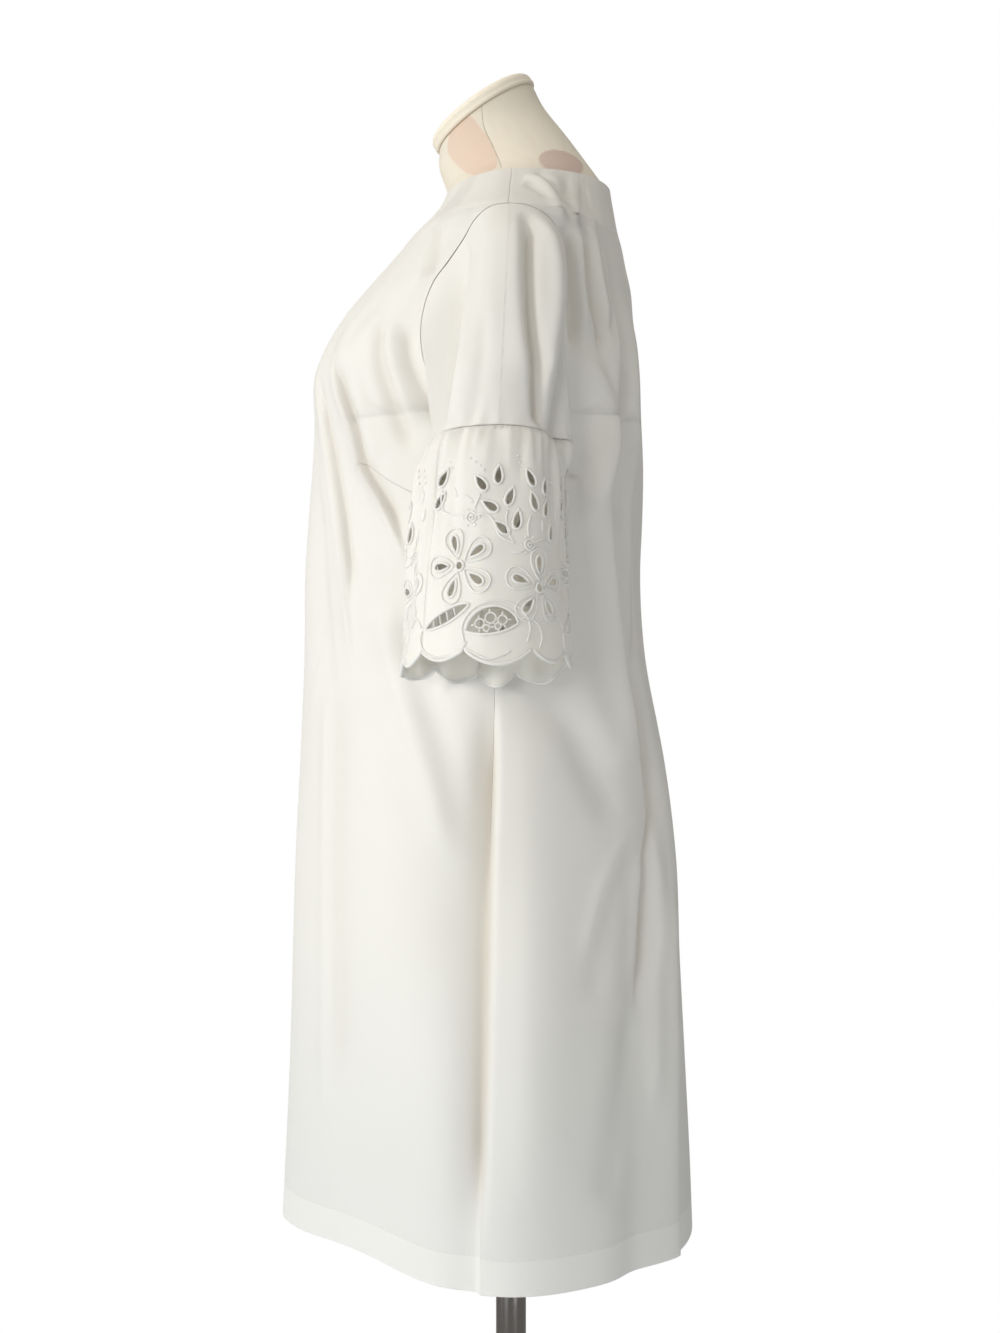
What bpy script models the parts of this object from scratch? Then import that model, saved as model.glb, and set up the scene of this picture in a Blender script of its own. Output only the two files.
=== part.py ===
"""Knee-length shift dress with cutwork sleeve flounces, standing on a limbless dress form.

Metres, +Z up, the front faces -Y and the wearer's left is +X. The origin is the centre of
the stand base's underside. The dress is a set of cloth walls: a front, two backs, two
sleeves and two flounces, each flounce in an outer and an inner part.
"""

import math

import bpy
import numpy as np
from mathutils import Vector
from mathutils.geometry import delaunay_2d_cdt

# ---------------------------------------------------------------- driving dimensions
CLOTH = 0.0015            # thickness of the cloth walls
SEAM_GAP = 0.0003         # gap between two sewn pieces, and between pieces that touch
DRESS_CLEARANCE = 0.0011  # cloth to form on the shoulders, where the dress rests

HEM_Z = 0.529
UNDERARM_Z = 1.205
SHOULDER_TIP_Z = 1.3634
NECKLINE_Z = 1.4140
NECKLINE_TILT = 0.050     # rise of the neckline from front to back, for each metre of depth
HEM_LIFT = 0.010          # how far the hem rises between the side and the centre front
HEM_LIFT_Y = -0.128
HEM_LIFT_REACH = 0.050
HEM_LIFT_TOP = 0.70       # the lift grows from this level down to the hem
HEM_LIFT_HEIGHT = 0.15

FLOUNCE_WIDTH = 0.390     # flat cut width of a flounce, gathered onto the sleeve
FLOUNCE_LENGTH = 0.178    # flat cut length, seam to the lowest scallop
REPEATS = 3               # motif repeats round a flounce
REPEAT = FLOUNCE_WIDTH / REPEATS
FLOUNCE_SPLIT = 0.059     # where a flounce's outer part starts, past its front turn
OUTER_REPEATS = 2         # repeats in the outer part, the rest being in the inner part
OUTER_SHARE = 0.59        # share of the width from the front turn round to the back turn
FLOUNCE_SPLIT_GAP = 0.0006  # flat width left open between its two parts
GATHERS = 18
GATHER_DEPTH = 0.0011
GATHER_FALL = 0.012       # length down which the gathers fade

POLE_RADIUS = 0.013
BASE_RADIUS = 0.185
BASE_THICKNESS = 0.010
BASE_BOSS_RADIUS = 0.024
BASE_BOSS_TOP = 0.030
BOSS_CHAMFER = 0.003
BASE_TOP_ROUND = 0.004
BASE_LOW_ROUND = 0.001
FORM_BOTTOM_Z = 0.740
FORM_BOTTOM_EDGE = ((0.940, FORM_BOTTOM_Z), (0.985, FORM_BOTTOM_Z + 0.004))   # share, z
CAP_RADIUS = 0.0510
CAP_THICKNESS = 0.0115
CAP_CROWN = 0.0015        # rise of the cap's padded top
CAP_TOP_ROUND = 0.0055
CAP_LOW_ROUND = 0.0020

# ---------------------------------------------------------------- tables
# Level sections of the dress body. front, back and side are the y of the centre front, the
# centre back and the side seam. The squareness is the superellipse exponent of each part.
BODY_COLUMNS = ("z", "front", "back", "half_width", "front_squareness", "back_squareness", "side")
BODY_SECTIONS = (
    (0.529, -0.1985, 0.1560, 0.2050, 1.32, 2.10, -0.025),
    (0.586, -0.1957, 0.1539, 0.2040, 1.36, 2.10, -0.024),
    (0.673, -0.1920, 0.1496, 0.2010, 1.42, 2.10, -0.022),
    (0.760, -0.1896, 0.1452, 0.1975, 1.48, 2.10, -0.020),
    (0.847, -0.1870, 0.1417, 0.1935, 1.55, 2.10, -0.018),
    (0.934, -0.1826, 0.1304, 0.1885, 1.62, 2.10, -0.015),
    (1.021, -0.1791, 0.1148, 0.1840, 1.70, 2.10, -0.013),
    (1.087, -0.1783, 0.1113, 0.1820, 1.78, 2.10, -0.012),
    (1.130, -0.1757, 0.1130, 0.1815, 1.84, 2.10, -0.012),
    (1.173, -0.1730, 0.1139, 0.1815, 1.90, 2.10, -0.012),
    (1.217, -0.1704, 0.1122, 0.1825, 1.92, 2.10, -0.012),
    (1.260, -0.1687, 0.1096, 0.1840, 1.92, 2.10, -0.010),
    (1.282, -0.1590, 0.1078, 0.1850, 1.90, 2.05, -0.008),
    (1.304, -0.1450, 0.1052, 0.1860, 1.88, 2.00, -0.006),
    (1.326, -0.1260, 0.1035, 0.1870, 1.86, 1.95, -0.004),
    (1.347, -0.1060, 0.0991, 0.1875, 1.84, 1.90, -0.003),
    (1.3634, -0.0915, 0.0960, 0.1865, 1.82, 1.86, -0.003),
    (1.380, -0.0775, 0.0920, 0.1600, 1.80, 1.82, -0.002),
    (1.395, -0.0672, 0.0892, 0.1335, 1.80, 1.82, -0.001),
    (1.406, -0.0608, 0.0872, 0.1135, 1.85, 1.85, 0.000),
    (1.4140, -0.0572, 0.0860, 0.0985, 1.90, 1.90, 0.000),
)

# Ribs of the left sleeve, from the shoulder tip forwards and round. Each rib starts on the
# armhole, given by its y and z on the body, and ends on the flounce seam. The tuck carries
# the rib's middle backwards, so that the sleeve falls in an outer and an inner lobe.
SLEEVE_COLUMNS = ("arm_y", "arm_z", "seam_x", "seam_y", "seam_z", "tuck")
SLEEVE_RIBS = (
    (-0.0030, 1.3634, 0.2370, -0.0110, 1.1860, 0.0000),
    (-0.0180, 1.3610, 0.2340, -0.0300, 1.1855, 0.0000),
    (-0.0300, 1.3515, 0.2240, -0.0460, 1.1845, 0.0030),
    (-0.0380, 1.3385, 0.2100, -0.0530, 1.1835, 0.0090),
    (-0.0500, 1.3220, 0.2005, -0.0440, 1.1820, 0.0190),
    (-0.0615, 1.3070, 0.1960, -0.0520, 1.1808, 0.0060),
    (-0.0690, 1.2870, 0.1890, -0.0615, 1.1797, -0.0010),
    (-0.0715, 1.2630, 0.1835, -0.0540, 1.1785, 0.0000),
    (-0.0660, 1.2370, 0.1845, -0.0400, 1.1773, 0.0000),
    (-0.0480, 1.2150, 0.1865, -0.0260, 1.1764, 0.0000),
    (-0.0120, 1.2050, 0.1880, -0.0080, 1.1760, 0.0000),
    (0.0210, 1.2130, 0.1880, 0.0090, 1.1763, 0.0000),
    (0.0340, 1.2330, 0.1870, 0.0230, 1.1772, 0.0000),
    (0.0385, 1.2580, 0.1860, 0.0350, 1.1783, 0.0000),
    (0.0390, 1.2850, 0.1890, 0.0450, 1.1793, 0.0000),
    (0.0390, 1.3090, 0.1955, 0.0400, 1.1802, -0.0040),
    (0.0385, 1.3280, 0.1985, 0.0250, 1.1812, -0.0130),
    (0.0360, 1.3430, 0.2080, 0.0255, 1.1827, 0.0080),
    (0.0285, 1.3545, 0.2220, 0.0215, 1.1840, 0.0060),
    (0.0135, 1.3620, 0.2330, 0.0075, 1.1855, 0.0010),
)
RIBS = len(SLEEVE_RIBS)
RIB_UNDERARM = 10         # the rib that ends under the arm
RIB_FRONT_TURN = 6        # where the sleeve turns from its outer to its inner side
RIB_BACK_TURN = 14

# Outer half of the left flounce's hem, from its front turn over the outside to its back turn.
FLOUNCE_HEM_COLUMNS = ("x", "y", "z")
FLOUNCE_HEM = (
    (0.2040, -0.0835, 0.9985),
    (0.2330, -0.0790, 1.0030),
    (0.2600, -0.0660, 1.0060),
    (0.2800, -0.0440, 1.0070),
    (0.2880, -0.0180, 1.0080),
    (0.2820, 0.0080, 1.0080),
    (0.2630, 0.0290, 1.0070),
    (0.2370, 0.0400, 1.0040),
    (0.2080, 0.0420, 0.9985),
)
INNER_WAVES = 3           # ruffle waves on the flounce's inner side
INNER_WAVE_DEPTH = 0.0080
INNER_HEM_DROP = 0.010
INNER_HEM_X = 0.2035
INNER_EDGE = 1 / 3        # share of the inner side over which its shape takes over at each end
FLARE_AT_SEAM = 0.30      # share of the flare that the gathers take up just under the seam
FLARE_FALL = 0.08         # and the share of the length in which they do

# Large soft folds. girth is the angle round the body in degrees, -90 at the centre front,
# 0 at the side seam and 90 at the centre back. A positive depth is a ridge.
FOLD_COLUMNS = ("side", "girth_top", "z_top", "girth_low", "z_low", "width", "depth")
FOLDS = (
    ("both", -12.0, 0.930, -8.0, 0.535, 9.0, -0.0095),
    ("both", 14.0, 0.900, 12.0, 0.535, 12.0, 0.0045),
    ("left", -40.0, 1.010, -30.0, 0.700, 11.0, 0.0040),
    ("right", -36.0, 1.040, -44.0, 0.660, 12.0, 0.0045),
    ("left", 50.0, 0.900, 44.0, 0.540, 8.0, -0.0085),
    ("left", 66.0, 1.080, 64.0, 0.560, 8.0, 0.0065),
    ("right", 56.0, 0.940, 48.0, 0.540, 9.0, -0.0080),
    ("right", 70.0, 1.040, 68.0, 0.580, 8.0, 0.0055),
    ("left", 62.0, 1.340, 60.0, 1.130, 7.0, 0.0060),
    ("left", 44.0, 1.310, 46.0, 1.160, 6.0, -0.0040),
    ("right", 60.0, 1.320, 57.0, 1.150, 8.0, 0.0055),
    ("right", 42.0, 1.290, 45.0, 1.160, 6.0, -0.0035),
    ("left", -66.0, 1.230, -40.0, 1.090, 8.0, -0.0040),
    ("right", -62.0, 1.220, -42.0, 1.100, 8.0, -0.0040),
)
METRES_PER_DEGREE = 0.0033   # girth of the dress for each degree, near enough for the folds

# How far the form's cover lies inside the dress, level by level, in front and behind.
FORM_INSET_COLUMNS = ("z", "front_inset", "back_inset")
FORM_INSETS = (
    (0.730, 0.030, 0.030),
    (0.820, 0.024, 0.028),
    (0.920, 0.034, 0.030),
    (1.010, 0.044, 0.036),
    (1.080, 0.040, 0.034),
    (1.150, 0.022, 0.026),
    (1.210, 0.0095, 0.018),
    (1.260, 0.0060, 0.0120),
    (1.310, 0.0040, 0.0070),
    (1.345, CLOTH + DRESS_CLEARANCE, CLOTH + 1.5 * DRESS_CLEARANCE),
    (1.365, CLOTH + DRESS_CLEARANCE, CLOTH + 1.5 * DRESS_CLEARANCE),
    (1.395, CLOTH + DRESS_CLEARANCE, CLOTH + DRESS_CLEARANCE),
    (1.420, CLOTH + DRESS_CLEARANCE, CLOTH + DRESS_CLEARANCE),
)

# Sections of the neck above the dress: centre y and z, half depth, half width and the
# forward tilt in degrees.
NECK_COLUMNS = ("y", "z", "half_depth", "half_width", "tilt")
NECK_SECTIONS = (
    (0.0105, 1.4225, 0.0650, 0.0790, 5.0),
    (0.0040, 1.4330, 0.0610, 0.0655, 11.0),
    (-0.0055, 1.4480, 0.0565, 0.0560, 19.0),
    (-0.0165, 1.4655, 0.0520, 0.0500, 28.0),
    (-0.0215, 1.4825, 0.0488, 0.0480, 34.0),
)

# Flat motifs of one repeat, measured across from the repeat's edge and down from the seam.
FLOWER_COLUMNS = ("across", "down", "turn")
FLOWERS = ((0.0330, 0.1050, 108.0), (0.0970, 0.1210, 90.0))
PETALS = 5
PETAL_EYELET = (0.0130, 0.0064)     # length and width of a petal's eyelet
PETAL_EYELET_OUT = 0.0170           # flower centre to the middle of the eyelet
FLOWER_EYE = (0.0056, 0.0046)
LEAF_COLUMNS = ("across", "down", "turn")
LEAVES = (
    (0.0130, 0.0390, 58.0),
    (0.0110, 0.0560, 52.0),
    (0.0480, 0.0450, 128.0),
    (0.0620, 0.0390, 86.0),
    (0.0560, 0.0620, 150.0),
    (0.0720, 0.0550, 68.0),
    (0.0655, 0.0780, 142.0),
    (0.0780, 0.0720, 82.0),
    (0.0890, 0.0400, 118.0),
    (0.0920, 0.0575, 110.0),
    (0.1050, 0.0440, 80.0),
    (0.1060, 0.0610, 72.0),
    (0.1130, 0.0780, 78.0),
)
LEAF_EYELET = (0.0135, 0.0066)
CRESCENT = (0.0235, 0.1420, 24.0)   # across, down and turn of the barred slot
CRESCENT_SIZE = (0.0340, 0.0080)
SHELL = (0.0600, 0.1500, 8.0)       # across, down and turn of the netted opening
SHELL_SIZE = (0.0340, 0.0180)
SCALLOP_ENDS = (0.0, 0.040, 0.090, 0.130)   # across, the points where the hem's lobes meet
SCALLOP_DEPTHS = (0.0080, 0.0120, 0.0095)

# ---------------------------------------------------------------- mesh counts
HALF_PANEL_COLUMNS = 12
SKIRT_ROWS = 10
ARMHOLE_ROWS = 12
SHOULDER_ROWS = 4
SLEEVE_ROWS = 8
FORM_STEPS = 24
FORM_LEVELS = (0.757, 0.81, 0.87, 0.93, 0.99, 1.05, 1.10, 1.15, 1.19)
EYELET_POINTS = 7
LOBE_STEPS = 7
FILL_ACROSS = 0.020       # spacing of the loose points inside the flounce cloth
FILL_DOWN = 0.024
FILL_TOP = 0.028
FILL_CLEAR = 0.0065


# ---------------------------------------------------------------- curves through tables
def column(rows, names, name):
    """One named column of a table as an array."""
    return np.array([row[names.index(name)] for row in rows])


def smooth_through(keys, values, at):
    """Cubic Hermite curve through (keys, values), its slopes taken across the neighbours."""
    slopes = np.gradient(values, keys)
    at = np.clip(at, keys[0], keys[-1])
    i = np.clip(np.searchsorted(keys, at, side="right") - 1, 0, len(keys) - 2)
    step = keys[i + 1] - keys[i]
    t = (at - keys[i]) / step
    start = (1 + 2 * t) * (1 - t) ** 2 * values[i] + t * (1 - t) ** 2 * slopes[i] * step
    return start + t**2 * (3 - 2 * t) * values[i + 1] + t**2 * (t - 1) * slopes[i + 1] * step


def closed_through(values, at):
    """The same curve through values that repeat, one value for each whole number of at."""
    n = len(values)
    keys = np.arange(-3, n + 4)
    return smooth_through(keys.astype(float), values[keys % n], np.mod(at, n))


def body_column(name, z):
    return smooth_through(
        column(BODY_SECTIONS, BODY_COLUMNS, "z"), column(BODY_SECTIONS, BODY_COLUMNS, name), z)


def ease(t):
    t = np.clip(t, 0.0, 1.0)
    return t * t * (3 - 2 * t)


# ---------------------------------------------------------------- the dress body
def section_point(girth, z):
    """A plain level section's point for girth in degrees: x out, y back."""
    turn = np.radians(girth)
    ahead = girth < 0
    square = np.where(ahead, body_column("front_squareness", z), body_column("back_squareness", z))
    side = body_column("side", z)
    reach = np.where(ahead, side - body_column("front", z), body_column("back", z) - side)
    x = body_column("half_width", z) * np.maximum(np.cos(turn), 0.0) ** (2 / square)
    y = side + np.sign(turn) * reach * np.abs(np.sin(turn)) ** (2 / square)
    return x, y


def girth_of(y, z):
    """The girth angle of the point at depth y on the level section z."""
    side = body_column("side", z)
    ahead = y < side
    square = np.where(ahead, body_column("front_squareness", z), body_column("back_squareness", z))
    reach = np.where(ahead, side - body_column("front", z), body_column("back", z) - side)
    share = np.clip(np.abs(y - side) / reach, 0.0, 1.0)
    return np.degrees(np.arcsin(share ** (square / 2))) * np.where(ahead, -1, 1)


def fold_depth(girth, z, side):
    """Sum of the folds: each a bell across its line, fading towards the line's ends."""
    depth = np.zeros(np.broadcast(girth, z).shape)
    for row in FOLDS:
        fold = dict(zip(FOLD_COLUMNS, row))
        if fold["side"] not in ("both", side):
            continue
        along = (fold["z_top"] - z) / (fold["z_top"] - fold["z_low"])
        line = fold["girth_top"] + (fold["girth_low"] - fold["girth_top"]) * along
        lean = (fold["girth_low"] - fold["girth_top"]) * METRES_PER_DEGREE
        lean = lean / (fold["z_top"] - fold["z_low"])
        off = (girth - line) / fold["width"] / math.sqrt(1 + lean**2)
        reaches_hem = fold["z_low"] < HEM_Z + 0.02
        fade = ease(along / 0.35) * (1.0 if reaches_hem else ease((1 - along) / 0.35))
        depth += fold["depth"] * np.exp(-off**2) * np.where(along > 0, fade, 0.0)
    return depth


def body_grid(girth, z, side, folds=True, inset=0.0):
    """Points of the dress body, moved in by inset along the normal of the plain section."""
    girth, z = np.broadcast_arrays(np.asarray(girth, float), np.asarray(z, float))

    def plain(g, h):
        x, y = section_point(g, h)
        tilt = NECKLINE_TILT * ease((h - SHOULDER_TIP_Z) / (NECKLINE_Z - SHOULDER_TIP_Z))
        return np.stack([x, y, h + tilt * y], axis=-1)

    step_g, step_z = 0.5, 0.001
    inner = np.clip(girth, -89.0, 89.0)
    low = np.clip(z, HEM_Z + step_z, NECKLINE_Z - step_z)
    across = plain(inner + step_g, low) - plain(inner - step_g, low)
    up = plain(inner, low + step_z) - plain(inner, low - step_z)
    normal = np.cross(across, up)
    centre = np.abs(girth) > 89.0
    normal[..., 0] = np.where(centre, 0.0, normal[..., 0])
    normal /= np.linalg.norm(normal, axis=-1, keepdims=True)
    points = plain(girth, z)
    out = fold_depth(girth, z, side) if folds else np.zeros(girth.shape)
    points = points + normal * (out - inset)[..., None]
    lift = HEM_LIFT * np.exp(-(((points[..., 1] - HEM_LIFT_Y) / HEM_LIFT_REACH) ** 2))
    points[..., 2] += lift * ease((HEM_LIFT_TOP - points[..., 2]) / HEM_LIFT_HEIGHT)
    points[..., 0] *= 1 if side == "left" else -1
    return points


def armhole_levels():
    """Levels of the rows that end on the armhole, closer together at its bottom and top."""
    share = (1 - np.cos(np.linspace(0.0, math.pi, ARMHOLE_ROWS + 1))) / 2
    return UNDERARM_Z + (SHOULDER_TIP_Z - UNDERARM_Z) * share


def shoulder_levels():
    return np.linspace(SHOULDER_TIP_Z, NECKLINE_Z, SHOULDER_ROWS + 1)[1:]


def rib_at_level(z, front):
    """Where round the sleeve, in ribs, the armhole passes the level z."""
    at = np.linspace(RIB_UNDERARM, 0 if front else RIBS, 400)
    return np.interp(z, closed_through(column(SLEEVE_RIBS, SLEEVE_COLUMNS, "arm_z"), at), at)


def panel_rows(front):
    """Edge girth and z of every row of a panel, hem to neckline."""
    skirt_z = np.linspace(HEM_Z, UNDERARM_Z, SKIRT_ROWS + 1)[:-1]
    arm_z = armhole_levels()
    arm_y = rib_column("arm_y", rib_at_level(arm_z, front))
    arm_girth = girth_of(arm_y, arm_z)
    arm_girth[[0, -1]] = 0.0
    z = np.concatenate([skirt_z, arm_z, shoulder_levels()])
    edge = np.concatenate([np.zeros(SKIRT_ROWS), arm_girth, np.zeros(SHOULDER_ROWS)])
    return edge, z


def half_panel(side, front, inset):
    """Points of half a front or a whole back, from the side edge to the centre line."""
    edge, z = panel_rows(front)
    centre = -90.0 if front else 90.0
    share = np.linspace(0.0, 1.0, HALF_PANEL_COLUMNS + 1)
    girth = edge[:, None] + (centre - edge[:, None]) * share[None, :]
    points = body_grid(girth, z[:, None], side, inset=inset)
    return open_seam(points, first=True)


def open_seam(points, first):
    """Draw an edge column back by half a seam gap, towards its neighbour."""
    edge, neighbour = (0, 1) if first else (-1, -2)
    step = points[:, neighbour] - points[:, edge]
    step /= np.linalg.norm(step, axis=-1, keepdims=True)
    points[:, edge] += step * SEAM_GAP / 2
    return points


# ---------------------------------------------------------------- sleeve and flounce
def rib_column(name, at):
    return closed_through(column(SLEEVE_RIBS, SLEEVE_COLUMNS, name), at)


def sleeve_start(at, depth):
    """The sleeve's edge in the armhole, drawn in from the panels' edges by depth."""
    y = rib_column("arm_y", at)
    z = rib_column("arm_z", at)
    middle_y = rib_column("arm_y", np.arange(RIBS)).mean()
    middle_z = rib_column("arm_z", np.arange(RIBS)).mean()
    away = np.stack([y - middle_y, z - middle_z], axis=-1)
    away /= np.linalg.norm(away, axis=-1, keepdims=True)
    y = y - away[..., 0] * depth
    z = z - away[..., 1] * depth
    x, y = section_point(girth_of(y, z), z)
    return np.stack([x, y, z], axis=-1)


def seam_ring(at, depth=0.0):
    """The ring where the flounce is sewn to the sleeve, drawn in level by depth."""
    ring = np.stack([rib_column(name, at) for name in ("seam_x", "seam_y", "seam_z")], axis=-1)
    if depth:
        along = seam_ring(at + 0.05) - seam_ring(at - 0.05)
        along /= np.linalg.norm(along[..., :2], axis=-1, keepdims=True)
        ring[..., 0] += depth * along[..., 1]
        ring[..., 1] -= depth * along[..., 0]
    return ring


def sleeve_grid(at, along, depth):
    """Bezier ribs: out of the armhole, over, and down onto the flounce seam."""
    start = sleeve_start(at, 1.5 * SEAM_GAP + depth)
    end = seam_ring(at, depth)
    end[..., 2] += SEAM_GAP / 2
    drop = (start[..., 2] - end[..., 2])[..., None]
    up = np.array([0.0, 0.0, 1.0])
    out = np.array([1.0, 0.0, 0.0])
    leave = start + out * 0.16 * drop - up * 0.10 * drop
    arrive = end + up * 0.50 * drop
    arrive[..., :2] += 0.45 * (leave - end)[..., :2] * np.array([0.5, 1.0])
    tuck = rib_column("tuck", at)
    leave[..., 1] += 1.3 * tuck
    arrive[..., 1] += 1.3 * tuck
    t = along[..., None]
    return (start * (1 - t) ** 3 + 3 * leave * t * (1 - t) ** 2
            + 3 * arrive * t**2 * (1 - t) + end * t**3)


def even_along(points, share):
    """Points at even shares of the length of a dense line."""
    length = np.concatenate([[0.0], np.cumsum(np.linalg.norm(np.diff(points, axis=0), axis=-1))])
    return np.stack([np.interp(share * length[-1], length, points[:, k]) for k in range(3)], axis=-1)


def flounce_loops(share):
    """Seam point and hem point for each share of the flounce's width, 0 at the front turn."""
    dense = np.linspace(0.0, 1.0, 240)
    outer_seam = seam_ring(RIB_FRONT_TURN - dense * (RIB_FRONT_TURN + RIBS - RIB_BACK_TURN))
    inner_seam = seam_ring(RIB_BACK_TURN + dense * (RIB_FRONT_TURN - RIB_BACK_TURN))
    hem_keys = np.arange(len(FLOUNCE_HEM), dtype=float)
    hem_at = dense * (len(FLOUNCE_HEM) - 1)
    outer_hem = np.stack(
        [smooth_through(hem_keys, column(FLOUNCE_HEM, FLOUNCE_HEM_COLUMNS, name), hem_at)
         for name in FLOUNCE_HEM_COLUMNS], axis=-1)
    first = np.array(FLOUNCE_HEM[-1])
    last = np.array(FLOUNCE_HEM[0])
    inner_hem = first + (last - first) * dense[:, None]
    swell = np.sin(math.pi * dense)
    waves = INNER_WAVE_DEPTH * np.cos(2 * math.pi * (INNER_WAVES * dense - 0.25))
    inner_hem[:, 0] += (INNER_HEM_X - last[0] + waves) * ease(swell / INNER_EDGE)
    inner_hem[:, 2] -= INNER_HEM_DROP * swell
    share = np.mod(share, 1.0)
    on_outer = (share < OUTER_SHARE)[..., None]
    outer = np.clip(share / OUTER_SHARE, 0.0, 1.0)
    inner = np.clip((share - OUTER_SHARE) / (1 - OUTER_SHARE), 0.0, 1.0)
    seam = np.where(on_outer, even_along(outer_seam, outer), even_along(inner_seam, inner))
    hem = np.where(on_outer, even_along(outer_hem, outer), even_along(inner_hem, inner))
    return seam, hem


def flounce_point(across, down, out):
    """Flat flounce coordinates in metres to the draped flounce of the left sleeve, moved
    outwards by out. A face of the flat pattern comes to look towards the arm."""
    fall = np.clip(down / FLOUNCE_LENGTH, 0.0, 1.0)[..., None]
    flare = FLARE_AT_SEAM * (1 - np.exp(-fall / FLARE_FALL)) + (1 - FLARE_AT_SEAM) * fall

    def draped(width):
        seam, hem = flounce_loops(width / FLOUNCE_WIDTH)
        points = seam + (hem - seam) * flare
        points[..., 2] = (seam + (hem - seam) * fall)[..., 2] - SEAM_GAP
        return points

    step = 0.0008
    points = draped(across)
    along = draped(across + step) - draped(across - step)
    along /= np.linalg.norm(along[..., :2], axis=-1, keepdims=True)
    gather = np.cos(2 * math.pi * GATHERS * across / FLOUNCE_WIDTH)
    out = out - GATHER_DEPTH * gather * np.exp(-down / GATHER_FALL)
    points[..., 0] += out * along[..., 1]
    points[..., 1] -= out * along[..., 0]
    return points


# ---------------------------------------------------------------- flat cutwork pattern
def turned(points, across, down, turn):
    """Place a motif drawn along +x: turned by degrees, its y up against the flounce's down."""
    turn = math.radians(turn)
    x = points[:, 0] * math.cos(turn) - points[:, 1] * math.sin(turn)
    y = points[:, 0] * math.sin(turn) + points[:, 1] * math.cos(turn)
    return np.stack([across + x, down - y], axis=-1)


def teardrop(length, width, count):
    """A drop, pointed at +x and round at -x."""
    t = np.linspace(0.0, 2 * math.pi, count, endpoint=False)
    bulge = 1.15 * np.sin(t / 2) ** 0.8
    return np.stack([length / 2 * np.cos(t), width / 2 * np.sin(t) * bulge], axis=-1)


def oval(length, width, count):
    t = np.linspace(0.0, 2 * math.pi, count, endpoint=False)
    return np.stack([length / 2 * np.cos(t), width / 2 * np.sin(t)], axis=-1)


def crescent(length, width, count):
    """A slot between two arcs that both bow downwards."""
    t = np.linspace(-1.0, 1.0, count)
    low = np.stack([t * length / 2, 0.5 * width * (t**2 - 1)], axis=-1)
    high = np.stack([t * length / 2, 0.5 * width * (t**2 - 1) + width * (1 - t**2) ** 0.7], axis=-1)
    return np.concatenate([low, high[::-1][1:-1]])


def shell_opening(length, width, count):
    """A leaf shape with a full arc above and a flat arc below."""
    t = np.linspace(-1.0, 1.0, count)
    low = np.stack([t * length / 2, -0.25 * width * (1 - t**2)], axis=-1)
    high = np.stack([t * length / 2, 0.75 * width * (1 - t**2) ** 0.6], axis=-1)
    return np.concatenate([low, high[::-1][1:-1]])


def repeat_openings(start):
    """Outlines of every opening in the repeat that begins at start."""
    openings = []
    for across, down, turn in FLOWERS:
        openings.append(turned(oval(*FLOWER_EYE, 6), start + across, down, turn))
        for petal in range(PETALS):
            angle = turn + 360.0 * petal / PETALS
            x = across + PETAL_EYELET_OUT * math.cos(math.radians(angle))
            y = down - PETAL_EYELET_OUT * math.sin(math.radians(angle))
            drop = teardrop(*PETAL_EYELET, EYELET_POINTS)
            openings.append(turned(drop, start + x, y, angle + 180.0))
    for across, down, turn in LEAVES:
        drop = teardrop(*LEAF_EYELET, EYELET_POINTS)
        openings.append(turned(drop, start + across, down, turn))
    across, down, turn = CRESCENT
    openings.append(turned(crescent(*CRESCENT_SIZE, 6), start + across, down, turn))
    across, down, turn = SHELL
    openings.append(turned(shell_opening(*SHELL_SIZE, 6), start + across, down, turn))
    return openings


def hem_down(across):
    """Depth of the scalloped hem, a row of unlike round lobes that meet in points."""
    across = np.mod(across - FLOUNCE_SPLIT + 1e-6, REPEAT)
    ends = np.array(SCALLOP_ENDS)
    lobe = np.clip(np.searchsorted(ends, across, side="right") - 1, 0, len(SCALLOP_DEPTHS) - 1)
    share = (across - ends[lobe]) / (ends[lobe + 1] - ends[lobe])
    bow = np.clip(np.sin(math.pi * share), 0.0, 1.0) ** 0.8
    return FLOUNCE_LENGTH - max(SCALLOP_DEPTHS) + np.array(SCALLOP_DEPTHS)[lobe] * bow


def cloth_outline(start, repeats):
    """Outline of part of a flounce: seam, back edge, scalloped hem and front edge."""
    width = repeats * REPEAT
    across = np.linspace(0.0, width, gather_steps(repeats) + 1)
    seam = np.stack([start + across, np.zeros_like(across)], axis=-1)
    down = np.linspace(0.0, FLOUNCE_LENGTH - max(SCALLOP_DEPTHS), 9)[1:-1]
    back = np.stack([np.full_like(down, start + width), down], axis=-1)
    lobes = [np.linspace(low, high, LOBE_STEPS, endpoint=False)
             for low, high in zip(SCALLOP_ENDS[:-1], SCALLOP_ENDS[1:])]
    across = np.concatenate([start + k * REPEAT + lobe for k in range(repeats) for lobe in lobes])
    across = np.append(across, start + width)[::-1]
    hem = np.stack([across, hem_down(across)], axis=-1)
    front = np.stack([np.full_like(down, start), down[::-1]], axis=-1)
    return np.concatenate([seam, back, hem, front])


def gather_steps(repeats):
    """Points along the seam of so many repeats, two for each gather."""
    return round(2 * GATHERS * repeats / REPEATS)


def inside(points, outline):
    """Whether each point lies inside a closed outline, by counting crossings."""
    x, y = points[:, None, 0], points[:, None, 1]
    x1, y1 = outline[None, :, 0], outline[None, :, 1]
    x2, y2 = np.roll(outline[:, 0], -1)[None], np.roll(outline[:, 1], -1)[None]
    rise = np.where(y2 == y1, 1e-12, y2 - y1)
    crossed = ((y1 > y) != (y2 > y)) & (x < (x2 - x1) * (y - y1) / rise + x1)
    return crossed.sum(axis=1) % 2 == 1


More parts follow.
